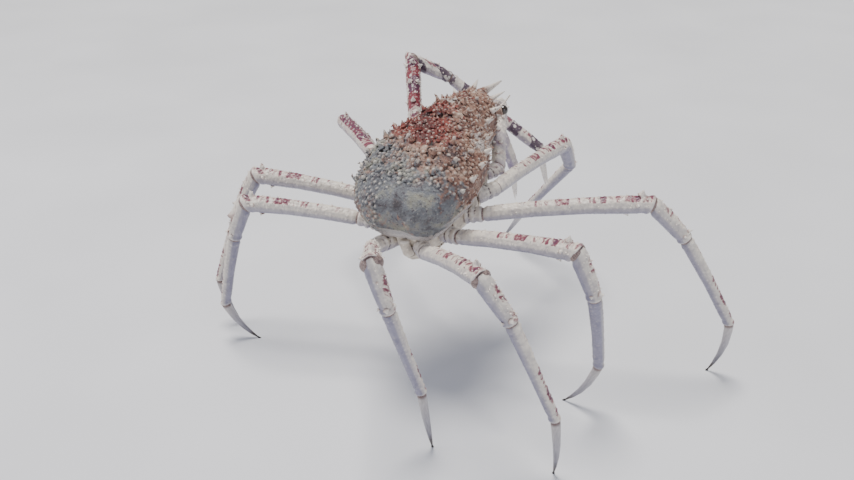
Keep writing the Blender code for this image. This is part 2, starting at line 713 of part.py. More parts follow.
def paint():
    """Gives each node the material of its surface."""
    finishes = {
        "carapace": finish_material("tuberculate_shell", (0.42, 0.27, 0.24), 0.62),
        "claw": finish_material("mottled_claw_shell", (0.70, 0.60, 0.58), 0.45),
        "leg": finish_material("pale_leg_shell", (0.80, 0.77, 0.72), 0.42),
        "dactyl": finish_material("grey_toe_horn", (0.34, 0.32, 0.30), 0.35),
        "eye": finish_material("cornea", (0.03, 0.025, 0.02), 0.12),
        "plain": finish_material("pale_under_shell", (0.72, 0.68, 0.60), 0.50),
    }
    for node in crab.objects:
        kinds = [kind for kind in ("dactyl", "leg", "claw", "carapace", "eye") if kind in node.name]
        node.data.materials.clear()
        node.data.materials.append(finishes[kinds[0] if kinds else "plain"])
        node.data.shade_smooth()
        node.data.set_sharp_from_angle(angle=math.radians(40))


def centre_over_origin():
    """Shifts every node alike, so the whole crab's box is centred over the origin."""
    places = [vertex.co for node in crab.objects for vertex in node.data.vertices]
    middle_x = (min(p.x for p in places) + max(p.x for p in places)) / 2
    middle_y = (min(p.y for p in places) + max(p.y for p in places)) / 2
    for node in crab.objects:
        node.data.transform(Matrix.Translation((-middle_x, -middle_y, 0)))


def main():
    clear_scene()
    back = carapace()
    breast = sternum()
    body = [back, breast]
    for side, number in LEG_POSE:
        walking_leg(side, number, body)
    for side in ("left", "right"):
        claw(side, body)
        mouthpart(side, body)
    abdomen([*body, *(crab.objects[f"leg_{side}_4_ischium"] for side in ("left", "right"))])
    fuse(back, shell_spines())
    for side in ("left", "right"):
        eye(side, [back])
        antenna(side, [back])
    paint()
    centre_over_origin()


main()
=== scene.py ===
"""Looks of a life-size Japanese spider crab, laid out as an add-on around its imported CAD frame."""

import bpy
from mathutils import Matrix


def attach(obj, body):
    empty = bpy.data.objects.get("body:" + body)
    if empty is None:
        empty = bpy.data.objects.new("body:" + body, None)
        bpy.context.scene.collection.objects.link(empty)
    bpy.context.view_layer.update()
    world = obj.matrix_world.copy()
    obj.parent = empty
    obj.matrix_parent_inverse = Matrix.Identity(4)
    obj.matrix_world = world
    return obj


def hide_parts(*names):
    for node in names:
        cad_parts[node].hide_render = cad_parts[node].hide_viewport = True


bl_info = {
    "name": "Japanese Spider Crab",
    "version": (1, 0, 0),
    "blender": (4, 5, 0),
    "location": "3D View > Sidebar > Spider Crab",
    "description": "Dresses the packed crab in shell, spines, joints, eyes, feelers and colours",
    "category": "Object",
}

import functools
import math
import random

import bpy
import numpy as np
from mathutils import Matrix, Vector
from mathutils.bvhtree import BVHTree
from mathutils.kdtree import KDTree

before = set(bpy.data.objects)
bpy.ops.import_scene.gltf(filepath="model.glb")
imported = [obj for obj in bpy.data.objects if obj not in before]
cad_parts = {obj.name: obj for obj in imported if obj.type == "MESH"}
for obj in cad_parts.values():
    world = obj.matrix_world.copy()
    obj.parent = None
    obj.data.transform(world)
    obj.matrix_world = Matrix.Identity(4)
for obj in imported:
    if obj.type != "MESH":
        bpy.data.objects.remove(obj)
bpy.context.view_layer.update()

# The body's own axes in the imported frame, in metres and degrees
SHELL_LENGTH = 0.26
NOSE_UP, LEFT_SIDE_DOWN = 18, 7
SHELL_MIDDLE_ALONG = (-0.035, -0.035, 0.05)
BODY_MIDDLE = Vector((0.04408, 0.04529, 0.281))
STANCE = (Matrix.Rotation(math.radians(NOSE_UP), 3, Vector((-1, 0, 0)))
          @ Matrix.Rotation(math.radians(LEFT_SIDE_DOWN), 3, Vector((0, 1, 0))))
SHELL_MIDDLE = BODY_MIDDLE + STANCE @ (Vector(SHELL_MIDDLE_ALONG) * SHELL_LENGTH)

EYE_RADIUS = 0.0255 * SHELL_LENGTH

LEGS = [f"leg_{side}_{k}" for side in ("left", "right") for k in (1, 2, 3, 4)]
CLAWS = ["claw_left", "claw_right"]
LEG_PARTS = ("ischium", "merus", "carpus", "propodus", "dactyl")
CLAW_PARTS = ("ischium", "merus", "carpus", "palm", "finger")


def linear(hex_colour):
    """An sRGB hex colour as the linear colour that a shader takes."""
    parts = [int(hex_colour[k:k + 2], 16) / 255 for k in (1, 3, 5)]
    return [p / 12.92 if p <= 0.04045 else ((p + 0.055) / 1.055) ** 2.4 for p in parts] + [1.0]


def only(piece):
    """Leaves this piece alone selected and active."""
    if bpy.context.mode != "OBJECT":
        bpy.ops.object.mode_set(mode="OBJECT")
    bpy.ops.object.select_all(action="DESELECT")
    piece.select_set(True)
    bpy.context.view_layer.objects.active = piece


def finish_with(piece, kind, **settings):
    """Adds a modifier with these settings and applies it."""
    modifier = piece.modifiers.new(kind.title(), kind)
    for name, value in settings.items():
        setattr(modifier, name, value)
    only(piece)
    bpy.ops.object.modifier_apply(modifier=modifier.name)


def rounded(piece):
    finish_with(piece, "SUBSURF", levels=1, render_levels=1)


def apply_place(piece):
    """Moves the piece's place, turn and size into its mesh."""
    only(piece)
    bpy.ops.object.transform_apply(location=True, rotation=True, scale=True)


def new_object(name, data):
    made = bpy.data.objects.new(name, data)
    bpy.context.scene.collection.objects.link(made)
    return made


def points_of(piece):
    found = np.empty(len(piece.data.vertices) * 3)
    piece.data.vertices.foreach_get("co", found)
    return found.reshape(-1, 3)


def normals_of(piece):
    found = np.empty(len(piece.data.vertices) * 3)
    piece.data.vertex_normals.foreach_get("vector", found)
    return found.reshape(-1, 3)


def note(piece, name, values, kind="FLOAT"):
    """Keeps a number or a vector on each point, which a material reads by this name."""
    attribute = piece.data.attributes.new(name, kind, "POINT")
    field = "value" if kind == "FLOAT" else "vector"
    attribute.data.foreach_set(field, np.asarray(values, np.float32).ravel())


def noted(piece, name):
    """The numbers kept under this name."""
    values = piece.data.attributes[name].data
    found = np.empty(len(values), np.float32)
    values.foreach_get("value", found)
    return found


def raise_surface(piece, heights):
    """Moves each point along its normal. Hundreds of grains, each at its own spot, need this."""
    moved = points_of(piece) + normals_of(piece) * np.asarray(heights)[:, None]
    piece.data.vertices.foreach_set("co", moved.ravel())
    piece.data.update()


def smooth_step(values, low, high):
    t = np.clip((np.asarray(values) - low) / (high - low), 0, 1)
    return t * t * (3 - 2 * t)


def hump(values, middle, width):
    return np.exp(-((np.asarray(values) - middle) / width) ** 2)


def remeshed(node, name, grain):
    """A copy of a CAD node as an even, rounded skin with faces this wide."""
    piece = new_object(name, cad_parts[node].data.copy())
    only(piece)
    piece.data.materials.clear()
    bpy.ops.object.mode_set(mode="EDIT")
    bpy.ops.mesh.select_all(action="SELECT")
    bpy.ops.mesh.remove_doubles(threshold=0.00001)
    bpy.ops.object.mode_set(mode="OBJECT")
    size = grain * 1
    finish_with(piece, "REMESH", mode="VOXEL", voxel_size=size, use_smooth_shade=True)
    finish_with(piece, "SMOOTH", factor=0.5, iterations=6)
    return piece


def relief(piece, steps=24):
    """Notes how far each point stands out of its blurred surroundings, in millimetres."""
    blurred = new_object("blurred", piece.data.copy())
    finish_with(blurred, "SMOOTH", factor=0.5, iterations=steps)
    out = ((points_of(piece) - points_of(blurred)) * normals_of(piece)).sum(1) * 1000
    bpy.data.objects.remove(blurred)
    note(piece, "relief", out)


def settle(piece, *nodes, slot, material):
    """Gives a finished piece its material and body, and hides the nodes it stands for. Its slot is
    not used.
    """
    piece.data.materials.clear()
    piece.data.materials.append(material)
    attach(piece, "root")
    if nodes:
        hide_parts(*nodes)


# ---- spines and grains


@functools.cache
def spine_pattern():
    """Points and faces of one upright spine of unit height and root radius, modelled once."""
    bpy.ops.object.select_all(action="DESELECT")
    bpy.ops.mesh.primitive_cone_add(vertices=8, radius1=1, radius2=0.06, depth=1,
                                    end_fill_type="NGON", location=(0, 0, 0.5))
    pattern = bpy.context.object
    apply_place(pattern)
    # The cone is cut at each height, and the ring there is swollen by this much
    swell = {0.0: 1.22, 0.12: 1.02, 0.32: 1.0, 0.58: 1.06, 0.82: 1.18, 1.0: 1.0}
    bpy.ops.object.mode_set(mode="EDIT")
    for height in list(swell)[1:-1]:
        bpy.ops.mesh.select_all(action="SELECT")
        bpy.ops.mesh.bisect(plane_co=(0, 0, height), plane_no=(0, 0, 1))
    bpy.ops.object.mode_set(mode="OBJECT")
    heights = points_of(pattern)[:, 2]
    for level, size in swell.items():
        bpy.ops.object.mode_set(mode="EDIT")
        bpy.ops.mesh.select_all(action="DESELECT")
        bpy.ops.object.mode_set(mode="OBJECT")
        for vertex, height in zip(pattern.data.vertices, heights):
            vertex.select = abs(height - level) < 0.01
        bpy.ops.object.mode_set(mode="EDIT")
        bpy.ops.transform.resize(value=(size, size, 1), center_override=(0, 0, level))
    bpy.ops.object.mode_set(mode="OBJECT")
    base = points_of(pattern)
    faces = [tuple(face.vertices) for face in pattern.data.polygons]
    bpy.data.objects.remove(pattern)
    return base, faces


def planted(name, spots):
    """One mesh of many copies of the spine. Each spot gives its root, middle, tip and radius."""
    base, faces = spine_pattern()
    t = base[:, 2]
    all_points, all_faces = [], []
    for k, (root, middle, tip, radius) in enumerate(spots):
        axis = (tip - root).normalized()
        across = axis.orthogonal().normalized()
        curve = (np.outer((1 - t) * (1 - 2 * t), root) + np.outer(4 * t * (1 - t), middle)
                 + np.outer(t * (2 * t - 1), tip))
        ring = np.outer(base[:, 0], across) + np.outer(base[:, 1], axis.cross(across))
        all_points.append(curve + radius * ring)
        all_faces += [tuple(k * len(base) + corner for corner in face) for face in faces]
    mesh = bpy.data.meshes.new(name)
    mesh.from_pydata(np.concatenate(all_points).tolist(), [], all_faces)
    piece = new_object(name, mesh)
    note(piece, "height", np.tile(t, len(spots)))
    only(piece)
    bpy.ops.object.shade_smooth()
    return piece


def cad_spines(node):
    """Root, middle, tip and radius of each spine that a CAD node carries, read from its mesh."""
    copy = new_object("spine_search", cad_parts[node].data.copy())
    only(copy)
    bpy.ops.object.mode_set(mode="EDIT")
    bpy.ops.mesh.select_all(action="SELECT")
    bpy.ops.mesh.remove_doubles(threshold=0.0009)
    bpy.ops.object.mode_set(mode="OBJECT")
    mesh = copy.data
    around = {vertex.index: [] for vertex in mesh.vertices}
    for a, b in (edge.vertices for edge in mesh.edges):
        around[a].append(b)
        around[b].append(a)
    # A tip has few edges, all leaning the same way, and ends at a ring half way up the spine
    fewest, most, least_lean, longest_edge = 4, 6, 0.72, 0.03
    ring_share, skin_over = 0.62, 1.04
    found = []
    for index, near in around.items():
        if not fewest <= len(near) <= most:
            continue
        tip = mesh.vertices[index].co
        spokes = [mesh.vertices[k].co - tip for k in near]
        lean = sum((s.normalized() for s in spokes), Vector()) / len(spokes)
        if lean.length < least_lean or max(s.length for s in spokes) > longest_edge:
            continue
        middle = sum((mesh.vertices[k].co for k in near), Vector()) / len(near)
        root = 2 * middle - tip
        axis = (tip - middle).normalized()
        spread = [(s - s.dot(axis) * axis).length for s in spokes]
        radius = sum(spread) / len(spread) / ring_share
        found.append((root, middle, tip, radius * skin_over))
    bpy.data.objects.remove(copy)
    return found


def near_spines(shell, least_length):
    """Which points of the shell lie on one of its long spines, whose sides stay smooth."""
    points = points_of(shell)
    close = np.zeros(len(points), bool)
    for root, middle, tip, radius in cad_spines("carapace"):
        axis = np.array(tip - root)
        if np.linalg.norm(axis) < least_length:
            continue
        share = np.clip((points - np.array(root)) @ axis / (axis @ axis), 0.12, 1)
        apart = points - np.array(root) - share[:, None] * axis
        close |= (apart ** 2).sum(1) < (radius * 1.25) ** 2
    return close


def scattered(piece, count, spacing, seed, allowed):
    """Places spread at random over a piece's skin, no nearer to each other than the spacing."""
    picker = random.Random(seed)
    points, normals = points_of(piece), normals_of(piece)
    usable = np.flatnonzero(allowed)
    kept, cells = [], {}
    tries_per_place = 12
    for _ in range(count * tries_per_place):
        if len(kept) >= count or not len(usable):
            break
        k = int(usable[picker.randrange(len(usable))])
        cell = tuple((points[k] // spacing).astype(int))
        near = [other for dx in (-1, 0, 1) for dy in (-1, 0, 1) for dz in (-1, 0, 1)
                for other in cells.get((cell[0] + dx, cell[1] + dy, cell[2] + dz), ())]
        if any(((points[k] - points[o]) ** 2).sum() < spacing ** 2 for o in near):
            continue
        cells.setdefault(cell, []).append(k)
        kept.append(k)
    return [(Vector(points[k]), Vector(normals[k])) for k in kept]


def grains(piece, count, spacing, radius, height, seed, allowed):
    """Raises round grains of this radius and height on a skin."""
    spots = scattered(piece, count, spacing, seed, allowed)
    picker = random.Random(seed + 1)
    tree = KDTree(max(len(spots), 1))
    sizes = []
    for k, (place, _) in enumerate(spots):
        tree.insert(place, k)
        sizes.append(picker.uniform(0.65, 1.25))
    tree.balance()
    points = points_of(piece)
    swell = np.zeros(len(points))
    if spots:
        for k, point in enumerate(points):
            _, nearest, distance = tree.find(point)
            reach = radius * sizes[nearest]
            if distance < reach:
                swell[k] = (1 - (distance / reach) ** 2) ** 1.4 * sizes[nearest]
    raise_surface(piece, swell * height)


def thorns(spots, length, radius, seed, lean):
    """Spine places for a scatter of small thorns, each leaning a little."""
    picker = random.Random(seed)
    made = []
    for place, normal in spots:
        size = picker.uniform(0.6, 1.35)
        tilt = Vector([picker.uniform(-0.25, 0.25) for _ in range(3)]) + lean
        tip = place + (normal + tilt).normalized() * length * size
        root = place - normal * radius * 0.5
        middle = (root + tip) / 2 + normal * length * 0.05
        made.append((root, middle, tip, radius * (0.6 + 0.4 * size)))
    return made


def body_places(piece):
    """Each point's place to the left, ahead and above, in shell lengths from the shell's middle."""
    local = (points_of(piece) - np.array(SHELL_MIDDLE)) @ np.array(STANCE) / SHELL_LENGTH
    return (local * np.array((1, -1, 1))).T


def turned_up(piece):
    """How far each point faces the body's own upward direction, from -1 to 1."""
    return normals_of(piece) @ np.array(STANCE @ Vector((0, 0, 1)))


def note_zones(piece):
    """Notes how red, grey or pale the back is at each point, as broad soft patches."""
    left, forward, up = body_places(piece)

    def patches(*rows):
        """Sums soft patches, each given by its strength, its place to the left and ahead,
        and its half width and half length, in shell lengths."""
        return sum(strength * np.exp(-((left - at_left) / wide) ** 2
                                     - ((forward - at_forward) / long) ** 2)
                   for strength, at_left, at_forward, wide, long in rows)

    red = patches((0.95, 0.02, 0.02, 0.19, 0.15), (0.7, 0.17, 0.12, 0.12, 0.14),
                  (0.55, -0.10, -0.08, 0.12, 0.10), (0.5, 0.02, 0.36, 0.12, 0.08),
                  (0.45, 0.02, 0.20, 0.18, 0.05))
    grey = patches((0.5, 0.16, -0.18, 0.20, 0.12), (0.5, 0.28, -0.05, 0.10, 0.14),
                   (0.3, -0.22, -0.10, 0.09, 0.12), (0.35, -0.08, -0.42, 0.22, 0.08),
                   (0.3, 0.0, 0.13, 0.25, 0.03))
    grey += 0.60 * smooth_step(-forward, 0.12, 0.34)
    pale = patches((0.7, 0.0, 0.27, 0.07, 0.05), (0.55, -0.26, 0.08, 0.08, 0.16),
                   (0.5, 0.05, 0.04, 0.05, 0.03), (0.4, 0.02, -0.10, 0.06, 0.03),
                   (0.4, -0.16, 0.25, 0.06, 0.06))
    pale += 0.4 * smooth_step(forward, 0.42, 0.50) + 0.8 * smooth_step(-up, 0.09, 0.16)
    for name, amount in (("red_zone", red), ("grey_zone", grey), ("pale_zone", pale)):
        note(piece, name, np.clip(amount, 0, 1))


# ---- joints of a limb


def search_tree(mesh):
    return BVHTree.FromPolygons([vertex.co for vertex in mesh.vertices],
                                [tuple(face.vertices) for face in mesh.polygons])


def joint_between(inner, outer):
    """Middle, outward direction and radius of the joint where two CAD pieces face each other."""
    tree = search_tree(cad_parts[inner].data)
    points = np.unique(points_of(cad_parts[outer]).round(6), axis=0)
    apart = np.array([tree.find_nearest(p)[3] for p in points])
    slack, fewest, enough = 0.0007, 6, 10
    near = points[apart < apart.min() + slack]
    if len(near) < fewest:
        near = points[np.argsort(apart)[:enough]]
    middle = (near.max(0) + near.min(0)) / 2
    facing = np.linalg.svd(near - near.mean(0))[2][2]
    if facing @ (points.mean(0) - middle) < 0:
        facing = -facing
    radius = np.sqrt(((near - middle) ** 2).sum(1)).mean()
    return Vector(middle), Vector(facing), float(radius)


def limb_joints(limb, parts):
    return [joint_between(f"{limb}_{a}", f"{limb}_{b}") for a, b in zip(parts, parts[1:])]


def root_of(limb, first_joint):
    """The end of a limb's first piece that lies in the body."""
    points = points_of(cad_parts[f"{limb}_ischium"])
    middle = np.array(first_joint[0])
    farthest = np.argsort(((points - middle) ** 2).sum(1))[-10:]
    root = points[farthest].mean(0)
    return Vector(root), Vector(middle - root).normalized()


def slot_of(limb):
    return "claw_shell" if limb in CLAWS else "leg_shell"


def tip_of(node, joint):
    points = points_of(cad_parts[node])
    return Vector(points[np.argmax(((points - np.array(joint[0])) ** 2).sum(1))])


def limb_spans(limb, parts):
    """Each piece's part and node, its inner joint, and its outer joint or, at last, its tip."""
    joints = limb_joints(limb, parts)
    starts = [root_of(limb, joints[0])] + joints
    for part, start, end in zip(parts, starts, joints + [None]):
        node = f"{limb}_{part}"
        if end is None:
            tip = tip_of(node, start)
            end = (tip, (tip - start[0]).normalized())
        yield part, node, start, end


def straighten(piece, start, end):
    """Notes where each point lies on a limb piece: metres from its inner and to its outer joint,
    the side that it faces, and a straight copy of its place for patterns that follow the limb."""
    points = points_of(piece)
    reach = points - np.array(start[0])
    from_start = reach @ np.array(start[1])
    to_end = (np.array(end[0]) - points) @ np.array(end[1])
    axis = np.array((end[0] - start[0]).normalized())
    upward = np.array((0, 0, 1.0)) - axis * axis[2]
    upward /= max(np.linalg.norm(upward), 1e-6)
    offset = reach - np.outer(reach @ axis, axis)
    wide, high = offset @ np.cross(axis, upward), offset @ upward
    upper = normals_of(piece) @ upward
    length = max((end[0] - start[0]).length, 1e-4)
    note(piece, "upper", upper)
    note(piece, "inner_edge", from_start)
    note(piece, "outer_edge", to_end)
    note(piece, "along", np.clip(reach @ axis / length, 0, 1))
    note(piece, "limb_place", np.stack([from_start, wide, high], 1), "FLOAT_VECTOR")
    return from_start, to_end, upper


def shape_ends(piece, from_start, to_end, depth, lip):
    """Sinks a neck at a piece's inner end and flares a lip at its outer one, as at shell joints."""
    heights = -depth * (1 - smooth_step(from_start, 0.0005, 0.0042))
    heights += lip * 0.55 * hump(from_start, 0.0068, 0.0026)
    heights += lip * hump(to_end, 0.0030, 0.0024)
    heights -= depth * 0.35 * (1 - smooth_step(to_end, 0.0, 0.0012))
    heights -= lip * 0.55 * hump(to_end, 0.0088, 0.0028)
    raise_surface(piece, heights)


def ball(name, place, axis, radius, squeeze, segments, rings):
    """A ball squeezed along its axis, with its poles on that axis."""
    bpy.ops.object.select_all(action="DESELECT")
    bpy.ops.mesh.primitive_uv_sphere_add(segments=segments, ring_count=rings, radius=radius)
    made = bpy.context.object
    made.name = name
    made.scale = (1, 1, squeeze)
    made.rotation_mode = "QUATERNION"
    made.rotation_quaternion = axis.to_track_quat("Z", "Y")
    made.location = place
    apply_place(made)
    bpy.ops.object.shade_smooth()
    return made


def joint_skin(name, joint):
    """The soft skin in a joint: a ball squeezed along the limb and creased round it."""
    fill, squeeze, crease_depth, crease_width = 0.935, 0.62, 0.00016, 0.00042
    middle, outwards, radius = joint
    skin = ball(name, middle, outwards, radius * fill, squeeze, 28, 22)
    along = (points_of(skin) - np.array(middle)) @ np.array(outwards)
    raise_surface(skin, crease_depth * np.sin(along / crease_width))
    return skin


# ---- materials


# The inputs of a node that mixes two colours
SHARE, BELOW, ABOVE = 0, 6, 7


def feed(tree, node, feeds):
    """Gives a node's inputs their numbers, sRGB hex colours or other nodes' results."""
    for socket, value in feeds.items():
        if isinstance(value, str):
            value = linear(value)
        elif isinstance(value, bpy.types.Node):
            value = next(output for output in value.outputs if output.enabled)
        if isinstance(value, bpy.types.NodeSocket):
            tree.links.new(value, node.inputs[socket])
        else:
            node.inputs[socket].default_value = value


def put(tree, kind, feeds=None, stops=None, **settings):
    """Adds a shader node with its settings, its colour stops and what feeds it."""
    made = tree.nodes.new("ShaderNode" + kind)
    for name, value in settings.items():
        setattr(made, name, value)
    if stops:
        ramp = made.color_ramp
        while len(ramp.elements) < len(stops):
            ramp.elements.new(0.5)
        for element, (position, colour) in zip(ramp.elements, stops):
            element.position = position
            element.color = linear(colour)
    feed(tree, made, feeds or {})
    return made


def new_material(name):
    """An empty node tree with its output and Principled shader."""
    material = bpy.data.materials.new(name)
    material.use_nodes = True
    tree = material.node_tree
    tree.nodes.clear()
    shader = put(tree, "BsdfPrincipled")
    put(tree, "OutputMaterial", {"Surface": shader})
    return material, tree, shader


def read(tree, name, low, high):
    """A point's noted number, stretched so that low gives 0 and high gives 1."""
    found = put(tree, "Attribute", attribute_name=name).outputs["Fac"]
    return put(tree, "MapRange", {"Value": found, "From Min": low, "From Max": high},
               interpolation_type="SMOOTHSTEP")


def limb_place(tree):
    """A point's place on its limb laid straight, so that patterns follow the limb."""
    return put(tree, "Attribute", attribute_name="limb_place").outputs["Vector"]


def roughen(tree, shader, grain, smoothest, roughest, strength, depth):
    """Lets a fine pattern vary the gloss and raise the surface a little."""
    rough = put(tree, "MapRange", {"Value": grain, "To Min": smoothest, "To Max": roughest})
    bump = put(tree, "Bump", {"Height": grain, "Strength": strength, "Distance": depth})
    feed(tree, shader, {"Roughness": rough, "Normal": bump})


def limb_shell(name, looks, blotch, bands, band_colour, underside):
    """Calcified chitin of a limb, cast off and regrown by the animal: bone white and satin, with
    painted cool shade below, and purple-red blotches and ticks on top that thicken towards the knee.
    The eye sees thin pale plates over darker joints, painted shade in the hollows, and fine pits
    that break up the gloss."""
    material, tree, shader = new_material(name)
    place = limb_place(tree)
    upper = read(tree, "upper", -0.75, 0.55)
    # Painted shade: the side facing down goes to a cool lavender, the side facing up stays bone
    base = put(tree, "Mix", {SHARE: upper, BELOW: underside, ABOVE: looks.bone}, data_type="RGBA")
    # Cloudy mottling about 9 mm wide
    cloud = put(tree, "TexNoise", {"Vector": place, "Scale": 110, "Detail": 5, "Roughness": 0.6,
                                   "Distortion": 0.4})
    clouded = put(tree, "ValToRGB", {"Fac": cloud}, stops=[(0.30, "#A8A1AC"), (0.48, "#DDD7D2"),
                                                           (0.66, "#FBF7F0")])
    mottled = put(tree, "Mix", {SHARE: 0.55, BELOW: base, ABOVE: clouded}, data_type="RGBA",
                  blend_type="MULTIPLY")
    # Blotches about 8 mm long, drawn out to 20 mm round the limb, and only on top
    squeezed = put(tree, "Mapping", {"Vector": place, "Scale": (1.0, 0.42, 0.42)})
    blots = put(tree, "TexNoise", {"Vector": squeezed, "Scale": 120, "Detail": 4,
                                   "Roughness": 0.55, "Distortion": 0.7})
    top = read(tree, "upper", 0.30, 0.95)
    along = read(tree, "along", -0.10, 0.85)
    strength = put(tree, "Math", {0: top, 1: along}, operation="MULTIPLY")
    push = put(tree, "Math", {0: strength, 1: blotch, 2: blots}, operation="MULTIPLY_ADD")
    red = put(tree, "ValToRGB", {"Fac": push}, stops=[(0.58, "#C49080"), (0.66, looks.blotch),
                                                      (0.84, looks.deep_blotch)])
    amount = put(tree, "MapRange", {"Value": push, "From Min": 0.59, "From Max": 0.71},
                 interpolation_type="SMOOTHSTEP")
    gate = put(tree, "MapRange", {"Value": strength, "From Min": 0.04, "From Max": 0.30,
                                  "To Max": min(1.0, blotch / 0.15)},
               interpolation_type="SMOOTHSTEP")
    gated = put(tree, "Math", {0: amount, 1: gate}, operation="MULTIPLY")
    blotched = put(tree, "Mix", {SHARE: gated, BELOW: mottled, ABOVE: red}, data_type="RGBA")
    # Broad dark rings round the limb, 42 mm apart, with ragged edges
    ragged = put(tree, "TexNoise", {"Vector": squeezed, "Scale": 60, "Detail": 3})
    length_on = put(tree, "SeparateXYZ", {0: place})
    turned = put(tree, "Math", {0: length_on, 1: 2 * math.pi / 0.042,
                                2: put(tree, "Math", {0: ragged, 1: 5.0}, operation="MULTIPLY")},
                 operation="MULTIPLY_ADD")
    wave = put(tree, "Math", {0: turned}, operation="SINE")
    ringed = put(tree, "MapRange", {"Value": wave, "From Min": -0.10, "From Max": 0.25,
                                    "To Max": bands}, interpolation_type="SMOOTHSTEP")
    banded = put(tree, "Mix", {SHARE: ringed, BELOW: blotched, ABOVE: band_colour},
                 data_type="RGBA")
    # White spots about 5 mm wide, where the shell is thickest
    spots = put(tree, "TexVoronoi", {"Vector": place, "Scale": 105, "Randomness": 1.0})
    spotted = put(tree, "MapRange", {"Value": spots, "From Min": 0.34, "From Max": 0.20,
                                     "To Max": 0.85}, interpolation_type="SMOOTHSTEP")
    spot_share = put(tree, "Math", {0: spotted, 1: min(1.0, bands + blotch * 0.6)},
                     operation="MULTIPLY")
    white = put(tree, "Mix", {SHARE: spot_share, BELOW: banded, ABOVE: "#EDE6DC"}, data_type="RGBA")
    # Raised grains and lips worn pale, and painted shade darkening the hollows
    high = read(tree, "relief", 0.12, 0.75)
    worn_share = put(tree, "Math", {0: high, 1: 0.6}, operation="MULTIPLY")
    worn = put(tree, "Mix", {SHARE: worn_share, BELOW: white, ABOVE: "#EFE8DD"}, data_type="RGBA")
    low = read(tree, "relief", -0.08, -0.42)
    sunk = put(tree, "Mix", {SHARE: low, BELOW: worn, ABOVE: "#7A6E78"}, data_type="RGBA",
               blend_type="MULTIPLY")
    # Folds of joint skin that show at the very ends
    inner = read(tree, "inner_edge", 0.0026, 0.0004)
    outer = read(tree, "outer_edge", 0.0012, 0.0001)
    ends = put(tree, "Math", {0: inner, 1: outer}, operation="MAXIMUM")
    final = put(tree, "Mix", {SHARE: ends, BELOW: sunk, ABOVE: looks.membrane}, data_type="RGBA")
    fine = put(tree, "TexNoise", {"Vector": place, "Scale": 900, "Detail": 3})
    rough = put(tree, "MapRange", {"Value": fine, "From Min": 0.3, "From Max": 0.7, "To Min": 0.30,
                                   "To Max": 0.52})
    # Pores 1.6 mm apart over finer pitting
    pores = put(tree, "TexVoronoi", {"Vector": place, "Scale": 620})
    pits = put(tree, "Bump", {"Height": pores, "Strength": 0.35, "Distance": 0.0005})
    grit = put(tree, "Bump", {"Height": fine, "Strength": 0.4, "Distance": 0.0004, "Normal": pits})
    feed(tree, shader, {"Base Color": final, "Roughness": rough, "Normal": grit,
                        "Coat Weight": 0.12, "Coat Roughness": 0.25})
    return material


